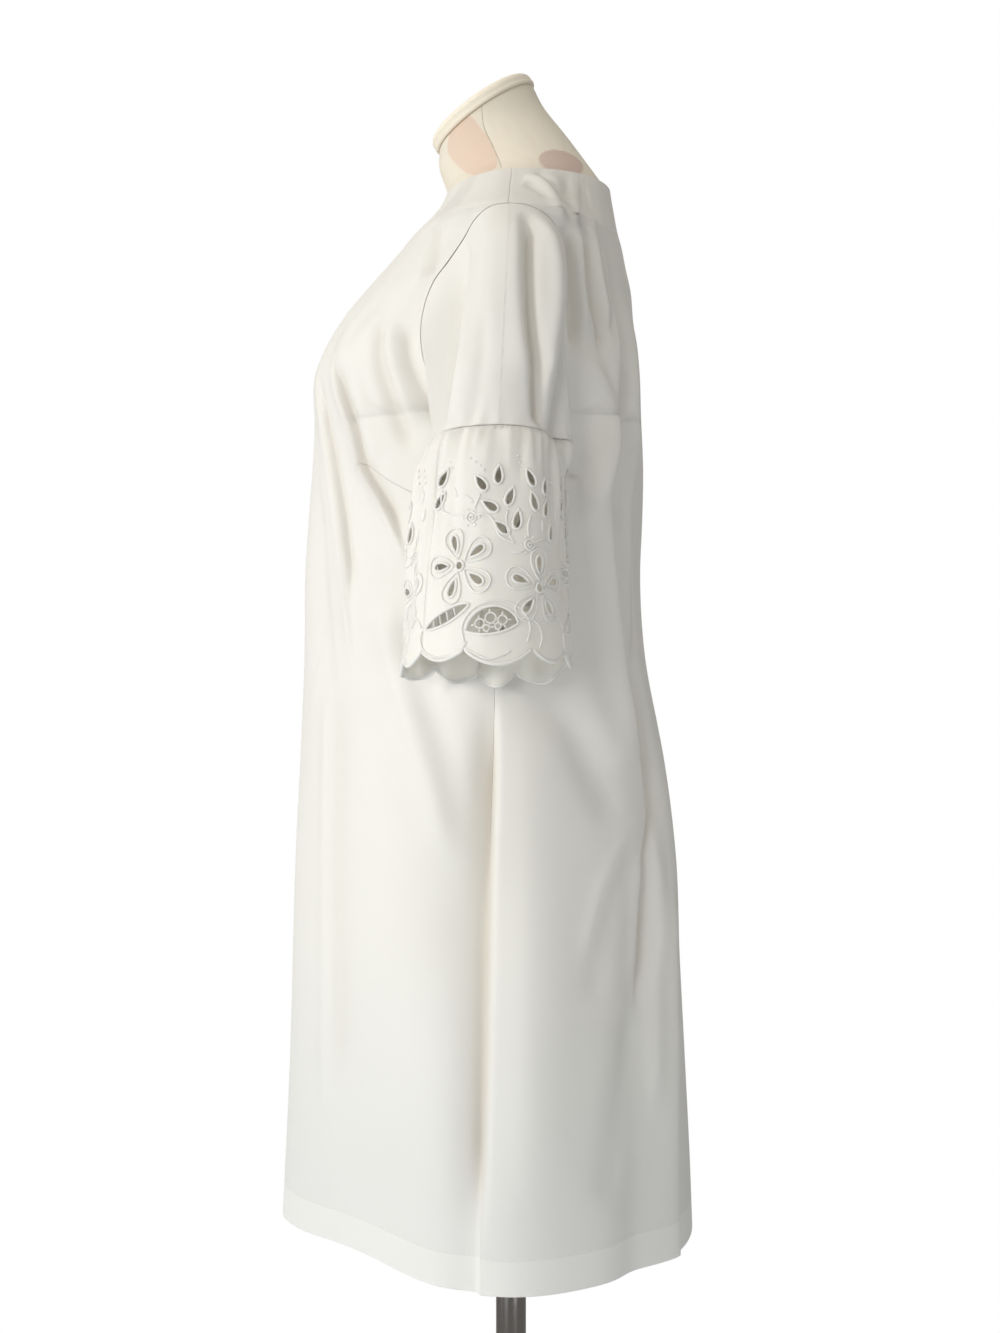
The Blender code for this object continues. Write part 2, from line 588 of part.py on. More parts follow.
def fill_points(outline, openings):
    """Staggered points over the cloth, kept clear of its outline and of the openings."""
    xs = np.arange(outline[:, 0].min(), outline[:, 0].max(), FILL_ACROSS)
    ys = np.arange(FILL_TOP, outline[:, 1].max(), FILL_DOWN)
    grid_x, grid_y = np.meshgrid(xs, ys)
    grid_x = grid_x + (np.arange(len(ys)) % 2)[:, None] * FILL_ACROSS / 2
    points = np.stack([grid_x.ravel(), grid_y.ravel()], axis=-1)
    keep = inside(points, outline)
    for ring in [outline, *openings]:
        edge = np.concatenate([ring, (ring + np.roll(ring, -1, axis=0)) / 2])
        near = np.linalg.norm(points[:, None] - edge[None], axis=-1).min(axis=1)
        keep &= near > FILL_CLEAR
        if ring is not outline:
            keep &= ~inside(points, ring)
    return points[keep]


def cut_cloth(start, repeats):
    """Triangles of part of a flounce, lying flat, with its openings left out."""
    outline = cloth_outline(start, repeats)
    openings = []
    for k in range(repeats):
        openings += repeat_openings(start + k * REPEAT)
    loops = [outline, *openings]
    steps = gather_steps(repeats)
    gather_row = np.stack([np.linspace(start, start + repeats * REPEAT, steps + 1)[1:-1],
                           np.full(steps - 1, GATHER_FALL)], axis=-1)
    loose = fill_points(outline, openings)
    points = np.concatenate([*loops, gather_row, loose])
    edges = []
    first = 0
    for loop in loops:
        edges += [(first + k, first + (k + 1) % len(loop)) for k in range(len(loop))]
        first += len(loop)
    vectors = [Vector(point) for point in points]
    verts, _, faces, *_ = delaunay_2d_cdt(vectors, edges, [], 0, 1e-7, False)
    verts = np.array([tuple(v) for v in verts])
    middles = verts[np.array(faces)].mean(axis=1)
    cloth = inside(middles, outline)
    for opening in openings:
        cloth &= ~inside(middles, opening)
    return verts, [face for face, kept in zip(faces, cloth) if kept]


# ---------------------------------------------------------------- making objects
def new_material(name, colour, roughness, metallic=0.0):
    material = bpy.data.materials.new(name)
    material.use_nodes = True
    shader = material.node_tree.nodes["Principled BSDF"]
    shader.inputs["Base Color"].default_value = (*colour, 1.0)
    shader.inputs["Roughness"].default_value = roughness
    shader.inputs["Metallic"].default_value = metallic
    return material


def new_object(name, verts, faces, material, collection):
    mesh = bpy.data.meshes.new(name)
    mesh.from_pydata([tuple(map(float, v)) for v in verts], [], faces)
    mesh.materials.append(material)
    mesh.shade_smooth()
    made = bpy.data.objects.new(name, mesh)
    collection.objects.link(made)
    return made


def cloth_wall(first, second, faces):
    """Close two like surfaces into one wall, with a rim along every open edge. The faces
    look away from the wall on the first surface."""
    count = len(first)
    sides = [(face[k], face[(k + 1) % len(face)]) for face in faces for k in range(len(face))]
    present = set(sides)
    rims = [(b, a, a + count, b + count) for a, b in sides if (b, a) not in present]
    back = [tuple(count + k for k in reversed(face)) for face in faces]
    return np.concatenate([first, second]), [*faces, *back, *rims]


def grid_faces(rows, columns, closed=False):
    """Quads of a grid whose rows go up and whose columns go anticlockwise from above."""
    wide = columns if closed else columns - 1
    faces = []
    for r in range(rows - 1):
        for c in range(wide):
            d = (c + 1) % columns
            low, high = r * columns, (r + 1) * columns
            faces.append((low + c, low + d, high + d, high + c))
    return faces


def flip(faces):
    return [tuple(reversed(face)) for face in faces]


def add_cloth(name, surface, faces, side, material, collection):
    """A cloth wall from surface(0) to surface(CLOTH). The right is mirrored."""
    first, second = (surface(depth).reshape(-1, 3) for depth in (0.0, CLOTH))
    if side == "right":
        faces = flip(faces)
    verts, faces = cloth_wall(first, second, faces)
    return new_object(name, verts, faces, material, collection)


def add_front(material, collection):
    def surface(depth):
        left = half_panel("left", True, depth)
        right = half_panel("right", True, depth)
        middle = (left[:, -1:] + right[:, -1:]) / 2
        return np.concatenate([right[:, :-1], middle, left[:, -2::-1]], axis=1)

    rows, columns, _ = surface(0.0).shape
    add_cloth("front_panel", surface, grid_faces(rows, columns), "left", material, collection)


def add_back(side, material, collection):
    def surface(depth):
        return open_seam(half_panel(side, False, depth), first=False)

    rows, columns, _ = surface(0.0).shape
    add_cloth(f"back_panel_{side}", surface, grid_faces(rows, columns), side, material, collection)


def add_sleeve(side, material, collection):
    """A sleeve whose ribs start where the panels' rows end on the armhole."""
    levels = armhole_levels()
    front = rib_at_level(levels, True)[::-1]
    back = rib_at_level(levels, False)
    at = np.concatenate([front, back[1:-1]])
    along = np.linspace(0.0, 1.0, SLEEVE_ROWS + 1)
    mirror = np.array([1 if side == "left" else -1, 1, 1])

    def surface(depth):
        return sleeve_grid(*np.meshgrid(at, along), depth) * mirror

    faces = grid_faces(SLEEVE_ROWS + 1, len(at), closed=True)
    add_cloth(f"sleeve_{side}", surface, faces, side, material, collection)


def add_flounce_part(side, part, material, collection):
    """The outer or inner part of a flounce, its side edges drawn in by half their gap. Its
    wall is built outwards from the seam's ring."""
    repeats = OUTER_REPEATS if part == "outer" else REPEATS - OUTER_REPEATS
    start = FLOUNCE_SPLIT + (0.0 if part == "outer" else OUTER_REPEATS * REPEAT)
    flat, faces = cut_cloth(start, repeats)
    middle = start + repeats * REPEAT / 2
    squeeze = 1 - FLOUNCE_SPLIT_GAP / (repeats * REPEAT)
    across = middle + (flat[:, 0] - middle) * squeeze
    mirror = np.array([1 if side == "left" else -1, 1, 1])

    def surface(out):
        return flounce_point(across, flat[:, 1], out) * mirror

    add_cloth(f"flounce_{side}_{part}", surface, faces, side, material, collection)


def add_form(material, collection):
    """Torso and neck in one body: sections inside the dress, then the tilted neck."""
    half = np.linspace(-90.0, 90.0, FORM_STEPS // 2 + 1)
    levels = np.concatenate([FORM_LEVELS, armhole_levels()[ARMHOLE_ROWS // 4:], shoulder_levels()])
    heights = column(FORM_INSETS, FORM_INSET_COLUMNS, "z")
    front, back = (smooth_through(heights, column(FORM_INSETS, FORM_INSET_COLUMNS, name), levels)
                   for name in ("front_inset", "back_inset"))
    behind = ease((half[None, :] + 20.0) / 40.0)
    inset = front[:, None] + (back - front)[:, None] * behind
    left = body_grid(half[None, :], levels[:, None], "left", folds=False, inset=inset)
    mirrored = left[:, -2:0:-1] * np.array([-1, 1, 1])
    sections = np.concatenate([left, mirrored], axis=1)
    middle = sections[0].mean(axis=0)
    rings = []
    for shrink, z in FORM_BOTTOM_EDGE:
        ring = middle + (sections[0] - middle) * shrink
        ring[:, 2] = z
        rings.append(ring)
    rings += list(sections)
    turn = np.radians(np.concatenate([half, 180.0 - half[-2:0:-1]]))
    for y, z, half_depth, half_width, tilt in NECK_SECTIONS:
        tilt = math.radians(tilt)
        deep = half_depth * np.sin(turn)
        rings.append(np.stack([half_width * np.cos(turn), y + deep * math.cos(tilt),
                               z + deep * math.sin(tilt)], axis=-1))
    rings = np.array(rings)
    rows, columns, _ = rings.shape
    faces = grid_faces(rows, columns, closed=True)
    faces.append(tuple(range(columns - 1, -1, -1)))
    faces.append(tuple((rows - 1) * columns + k for k in range(columns)))
    return new_object("form_torso", rings.reshape(-1, 3), faces, material, collection)


def add_turned(name, profile, steps, material, collection):
    """A turned piece: its profile, from the top centre down the outside, swept by Screw."""
    verts = [(r, 0.0, z) for r, z in profile]
    mesh = bpy.data.meshes.new(name)
    mesh.from_pydata(verts, [(k, k + 1) for k in range(len(verts) - 1)], [])
    mesh.materials.append(material)
    made = bpy.data.objects.new(name, mesh)
    collection.objects.link(made)
    screw = made.modifiers.new("Turn", "SCREW")
    screw.axis = "Z"
    screw.steps = steps
    screw.render_steps = steps
    screw.use_merge_vertices = True
    screw.merge_threshold = 0.00001
    screw.use_smooth_shade = True
    return made


def rounded_corner(radius, z, corner, steps, upper):
    """Quarter round of a turned rim: down onto the side from the top, or in to the bottom."""
    rim = []
    for turn in np.linspace(0.0, math.pi / 2, steps + 1):
        out, up = (math.sin(turn), math.cos(turn)) if upper else (math.cos(turn), -math.sin(turn))
        level = z - corner if upper else z + corner
        rim.append((radius - corner + corner * out, level + corner * up))
    return rim


def add_cap(material, collection):
    profile = [(0.0, CAP_THICKNESS + CAP_CROWN), (CAP_RADIUS * 0.55, CAP_THICKNESS + CAP_CROWN * 0.7)]
    profile += rounded_corner(CAP_RADIUS, CAP_THICKNESS, CAP_TOP_ROUND, 3, True)
    profile += rounded_corner(CAP_RADIUS, 0.0, CAP_LOW_ROUND, 1, False)
    profile.append((0.0, 0.0))
    cap = add_turned("neck_cap", profile, 20, material, collection)
    seat = dict(zip(NECK_COLUMNS, NECK_SECTIONS[-1]))
    tilt = math.radians(seat["tilt"])
    cap.rotation_euler = (tilt, 0.0, 0.0)
    cap.location = (0.0, seat["y"] - SEAM_GAP * math.sin(tilt), seat["z"] + SEAM_GAP * math.cos(tilt))


def add_stand(material, collection):
    profile = [(0.0, BASE_BOSS_TOP), (BASE_BOSS_RADIUS - BOSS_CHAMFER, BASE_BOSS_TOP),
               (BASE_BOSS_RADIUS, BASE_BOSS_TOP - BOSS_CHAMFER), (BASE_BOSS_RADIUS, BASE_THICKNESS)]
    profile += rounded_corner(BASE_RADIUS, BASE_THICKNESS, BASE_TOP_ROUND, 2, True)
    profile += rounded_corner(BASE_RADIUS, 0.0, BASE_LOW_ROUND, 1, False)
    profile.append((0.0, 0.0))
    add_turned("stand_base", profile, 28, material, collection)
    bottom = BASE_BOSS_TOP + SEAM_GAP
    length = FORM_BOTTOM_Z - SEAM_GAP - bottom
    bpy.ops.mesh.primitive_cylinder_add(vertices=24, radius=POLE_RADIUS, depth=length,
                                        location=(0.0, 0.0, bottom + length / 2))
    pole = bpy.context.object
    pole.name = "stand_pole"
    pole.data.materials.append(material)
    pole.data.shade_smooth()
    pole.data.set_sharp_from_angle(angle=math.radians(40))
    for owner in list(pole.users_collection):
        owner.objects.unlink(pole)
    collection.objects.link(pole)


def main():
    for old in list(bpy.data.objects):
        bpy.data.objects.remove(old, do_unlink=True)
    collection = bpy.data.collections.new("shift_dress")
    bpy.context.scene.collection.children.link(collection)

    crepe = new_material("ivory_crepe", (0.86, 0.84, 0.78), 0.75)
    cutwork = new_material("ivory_cutwork", (0.84, 0.83, 0.78), 0.70)
    linen = new_material("cream_linen", (0.80, 0.72, 0.58), 0.85)
    steel = new_material("polished_steel", (0.35, 0.33, 0.32), 0.18, 1.0)

    add_front(crepe, collection)
    for side in ("left", "right"):
        add_back(side, crepe, collection)
        add_sleeve(side, crepe, collection)
        for part in ("outer", "inner"):
            add_flounce_part(side, part, cutwork, collection)
    add_form(linen, collection)
    add_cap(linen, collection)
    add_stand(steel, collection)


main()
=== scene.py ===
"""Looks of the knee-length shift dress with cutwork sleeve flounces on its dress form.

Metres, +Z up, the front faces -Y and the wearer's left is +X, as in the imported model. Every
cloth piece is a thin two-sided shell on the form of its solid, with its creases added.
"""

import math

import bpy
import numpy as np
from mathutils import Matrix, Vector
from mathutils.geometry import delaunay_2d_cdt

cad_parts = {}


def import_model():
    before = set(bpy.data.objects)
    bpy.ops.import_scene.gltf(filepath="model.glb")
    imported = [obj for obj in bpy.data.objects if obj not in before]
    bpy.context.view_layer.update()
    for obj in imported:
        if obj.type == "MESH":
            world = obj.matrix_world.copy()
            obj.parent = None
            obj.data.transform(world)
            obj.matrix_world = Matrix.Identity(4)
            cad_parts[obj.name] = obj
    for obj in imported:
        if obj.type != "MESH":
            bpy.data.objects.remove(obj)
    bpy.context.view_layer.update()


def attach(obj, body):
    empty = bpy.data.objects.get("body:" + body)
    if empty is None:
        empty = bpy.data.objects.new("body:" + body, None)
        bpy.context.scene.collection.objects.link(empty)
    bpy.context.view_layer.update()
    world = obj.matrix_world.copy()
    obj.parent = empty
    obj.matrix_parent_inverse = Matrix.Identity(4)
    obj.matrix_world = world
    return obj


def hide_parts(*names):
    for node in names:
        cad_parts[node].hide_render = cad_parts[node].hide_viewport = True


# ---- sizes
CLOTH = 0.0009  # thickness of the crepe and of the flounce cloth
SEAM_GAP = 0.0003
EDGE_ROLL = 0.00055  # radius of a turned cloth edge
EDGE_WALL = 0.0002  # thickness that is left on the very edge

HEM_Z = 0.529
UNDERARM_Z = 1.205
SHOULDER_TIP_Z = 1.3634
NECKLINE_Z = 1.414
NECKLINE_TILT = 0.05
HEM_LIFT = 0.01
HEM_LIFT_Y = -0.128
HEM_LIFT_REACH = 0.05
HEM_LIFT_TOP = 0.7
HEM_LIFT_HEIGHT = 0.15
HEM_TURNING = 0.028  # height of the turned-up hem

FLOUNCE_WIDTH = 0.39
FLOUNCE_LENGTH = 0.178
REPEATS = 3
REPEAT = FLOUNCE_WIDTH / REPEATS
FLOUNCE_SPLIT = 0.059
OUTER_REPEATS = 2
OUTER_SHARE = 0.59
FLOUNCE_SPLIT_GAP = 0.0003
FLOUNCE_OUT = 0.0015  # the flounce cloth's outer side lies this far out from the seam's ring
GATHERS = 26
GATHER_DEPTH = 0.004
GATHER_FALL = 0.009
GATHER_START = 0.0015
GATHER_ROUNDNESS = 0.9  # the power of the sine that a gather follows
GATHER_MIDDLE = 0.8  # the height of a gather that leaves the cloth where it was
PUFF_DEPTH = 0.0012  # swelling of the cloth below the gathers
PUFF_START = 0.006
PUFF_FALL = 0.03
LONG_WAVES = 11  # slow waves that run on down the cloth
LONG_WAVE_DEPTH = 0.0016
LONG_WAVE_START = 0.02
LONG_WAVE_FALL = 0.1
PUCKERS = 23  # the sleeve's own puckers above the seam
PUCKER_DEPTH = 0.001
PUCKER_RISE = 0.007
INNER_WAVES = 3
INNER_WAVE_DEPTH = 0.008
INNER_WAVE_PHASE = 0.25
INNER_HEM_DROP = 0.01
INNER_HEM_X = 0.2035
INNER_EDGE = 1 / 3
FLARE_AT_SEAM = 0.3
FLARE_FALL = 0.08

# Handles of a sleeve rib's Bezier curve, in shares of its drop: out of the armhole and down it,
# up from the seam, and how far the last handle leans to the first, across and in depth.
RIB_OUT = 0.16
RIB_DOWN = 0.1
RIB_UP = 0.5
RIB_LEAN = 0.45
RIB_LEAN_ACROSS = 0.5
RIB_TUCK = 1.3
SLEEVE_GIRTH = 0.42

POLE_RADIUS = 0.013
BASE_RADIUS = 0.185
BASE_THICKNESS = 0.01
BASE_BOSS_RADIUS = 0.024
BASE_BOSS_TOP = 0.03
BASE_ROUNDING = 0.004
BASE_FILLET = 0.001
BOSS_ROUNDING = 0.003
POLE_ROUNDING = 0.0005
SHARP_ANGLE = 50  # degrees
FORM_BOTTOM_Z = 0.74
CAP_RADIUS = 0.051
CAP_THICKNESS = 0.0115
CAP_DOME = 0.0015
CAP_RIM_Z = CAP_THICKNESS - 0.005
CAP_RIM_CLOTH = 0.2  # where the rim's cloth lies in the flat
CAP_ROUNDING = 0.0055
WELT_RADIUS = CAP_RADIUS + 0.0002
WELT_ROUNDING = 0.0018
WELT_GROOVE = ((0, 0.0045), (-0.0004, 0.0036))  # out from the cap's side, and height
WELT_TOP = 0.0028

# ---- tables of the forms
L, R = "left", "right"
BODY_COLUMNS = ("z", "front", "back", "half_width", "front_squareness", "back_squareness", "side")
BODY_SECTIONS = (
    (0.529, -0.1985, 0.156, 0.205, 1.32, 2.1, -0.025),
    (0.586, -0.1957, 0.1539, 0.204, 1.36, 2.1, -0.024),
    (0.673, -0.192, 0.1496, 0.201, 1.42, 2.1, -0.022),
    (0.76, -0.1896, 0.1452, 0.1975, 1.48, 2.1, -0.02),
    (0.847, -0.187, 0.1417, 0.1935, 1.55, 2.1, -0.018),
    (0.934, -0.1826, 0.1304, 0.1885, 1.62, 2.1, -0.015),
    (1.021, -0.1791, 0.1148, 0.184, 1.7, 2.1, -0.013),
    (1.087, -0.1783, 0.1113, 0.182, 1.78, 2.1, -0.012),
    (1.13, -0.1757, 0.113, 0.1815, 1.84, 2.1, -0.012),
    (1.173, -0.173, 0.1139, 0.1815, 1.9, 2.1, -0.012),
    (1.217, -0.1704, 0.1122, 0.1825, 1.92, 2.1, -0.012),
    (1.26, -0.1687, 0.1096, 0.184, 1.92, 2.1, -0.01),
    (1.282, -0.159, 0.1078, 0.185, 1.9, 2.05, -0.008),
    (1.304, -0.145, 0.1052, 0.186, 1.88, 2, -0.006),
    (1.326, -0.126, 0.1035, 0.187, 1.86, 1.95, -0.004),
    (1.347, -0.106, 0.0991, 0.1875, 1.84, 1.9, -0.003),
    (1.3634, -0.0915, 0.096, 0.1865, 1.82, 1.86, -0.003),
    (1.38, -0.0775, 0.092, 0.16, 1.8, 1.82, -0.002),
    (1.395, -0.0672, 0.0892, 0.1335, 1.8, 1.82, -0.001),
    (1.406, -0.0608, 0.0872, 0.1135, 1.85, 1.85, 0),
    (1.414, -0.0572, 0.086, 0.0985, 1.9, 1.9, 0),
)

# Ribs of the left sleeve: a start on the armhole, an end on the flounce seam, and how far the
# rib's middle is tucked backwards.
SLEEVE_COLUMNS = ("arm_y", "arm_z", "seam_x", "seam_y", "seam_z", "tuck")
SLEEVE_RIBS = (
    (-0.003, 1.3634, 0.237, -0.011, 1.186, 0),
    (-0.018, 1.361, 0.234, -0.03, 1.1855, 0),
    (-0.03, 1.3515, 0.224, -0.046, 1.1845, 0.003),
    (-0.038, 1.3385, 0.21, -0.053, 1.1835, 0.009),
    (-0.05, 1.322, 0.2005, -0.044, 1.182, 0.019),
    (-0.0615, 1.307, 0.196, -0.052, 1.1808, 0.006),
    (-0.069, 1.287, 0.189, -0.0615, 1.1797, -0.001),
    (-0.0715, 1.263, 0.1835, -0.054, 1.1785, 0),
    (-0.066, 1.237, 0.1845, -0.04, 1.1773, 0),
    (-0.048, 1.215, 0.1865, -0.026, 1.1764, 0),
    (-0.012, 1.205, 0.188, -0.008, 1.176, 0),
    (0.021, 1.213, 0.188, 0.009, 1.1763, 0),
    (0.034, 1.233, 0.187, 0.023, 1.1772, 0),
    (0.0385, 1.258, 0.186, 0.035, 1.1783, 0),
    (0.039, 1.285, 0.189, 0.045, 1.1793, 0),
    (0.039, 1.309, 0.1955, 0.04, 1.1802, -0.004),
    (0.0385, 1.328, 0.1985, 0.025, 1.1812, -0.013),
    (0.036, 1.343, 0.208, 0.0255, 1.1827, 0.008),
    (0.0285, 1.3545, 0.222, 0.0215, 1.184, 0.006),
    (0.0135, 1.362, 0.233, 0.0075, 1.1855, 0.001),
)
RIBS = len(SLEEVE_RIBS)
RIB_UNDERARM = 10
RIB_FRONT_TURN = 6
RIB_BACK_TURN = 14

# Points on the left flounce's hem, from its front turn over the outside to its back turn.
FLOUNCE_HEM = (
    (0.204, -0.0835, 0.9985), (0.233, -0.079, 1.003), (0.26, -0.066, 1.006), (0.28, -0.044, 1.007),
    (0.288, -0.018, 1.008), (0.282, 0.008, 1.008), (0.263, 0.029, 1.007), (0.237, 0.04, 1.004),
    (0.208, 0.042, 0.9985),
)

# Soft folds of the flounce along lines of the flat cloth, in millimetres: across and down at the
# top end, across and down at the low end, width and depth.
FLOUNCE_FOLDS = (
    (179, 0, 176, 60, 3, -4), (186.5, 0, 185, 90, 4, 3), (195, 0, 196, 130, 3.6, -3.4),
    (204, 2, 205, 160, 4.6, 2.6), (213, 6, 211, 170, 4, -3), (164, 0, 166, 45, 2.6, -2.4),
    (153, 0, 154, 35, 2.2, -2), (141, 0, 140, 55, 3, -2.2), (129, 0, 130, 40, 3.4, 1.6),
    (116, 0, 112, 120, 6, -1.8), (98, 0, 96, 80, 7, 2), (82, 0, 85, 150, 6, -2.4),
    (70, 0, 64, 120, 4, 2.4), (65, 0, 54, 120, 3.4, -2.2), (46, 0, 48, 150, 5, 2.6),
    (30, 0, 33, 120, 5, -2.2), (230, 12, 233, 165, 13, -9.5), (388, 10, 386, 150, 17, 4.5),
    (256, 0, 258, 120, 6, -2.6), (300, 0, 298, 140, 6, 2.4), (345, 0, 347, 120, 5, -2.4),
)
SEAM_FOLD_TOP = 0.004  # a fold that begins above this depth starts on the seam
SEAM_FOLD_START = 0.002  # and rises over this depth
FLOUNCE_FOLD_START = 0.12  # shares of a fold's length over which it rises and fades
FLOUNCE_FOLD_END = 0.45

# Broad folds of the body. girth is the angle round it, -90 at the centre front, 0 at the side
# seam and 90 at the centre back. Each row: side, girth and z at the top, girth and z at the low
# end, width in degrees, and depth.
FOLDS = (
    ("both", -12, 0.93, -8, 0.535, 9, -0.0095),
    ("both", 14, 0.9, 12, 0.535, 12, 0.0045),
    (L, -40, 1.01, -30, 0.7, 11, 0.004),
    (R, -36, 1.04, -44, 0.66, 12, 0.0045),
    (L, 50, 0.9, 44, 0.54, 8, -0.0085),
    (L, 66, 1.08, 64, 0.56, 8, 0.0065),
    (R, 56, 0.94, 48, 0.54, 9, -0.008),
    (R, 70, 1.04, 68, 0.58, 8, 0.0055),
    (L, 62, 1.34, 60, 1.13, 7, 0.006),
    (L, 44, 1.31, 46, 1.16, 6, -0.004),
    (R, 60, 1.32, 57, 1.15, 8, 0.0055),
    (R, 42, 1.29, 45, 1.16, 6, -0.0035),
    (L, -66, 1.23, -40, 1.09, 8, -0.004),
    (R, -62, 1.22, -42, 1.1, 8, -0.004),
)
METRES_PER_DEGREE = 0.0033
FOLD_FADE = 0.35  # share of a fold's length over which it fades at each end
CREASE_FADE = 0.2  # the same for a crease
CREASE_REACH = 0.09  # nothing of a crease is left this far from its line
NEAR_HEM = HEM_Z + 0.02  # folds that end below this level run on through the hem
HUSH_WIDTH = 0.012  # creases rise over this width beside the armhole
HUSH_FADE = 0.018

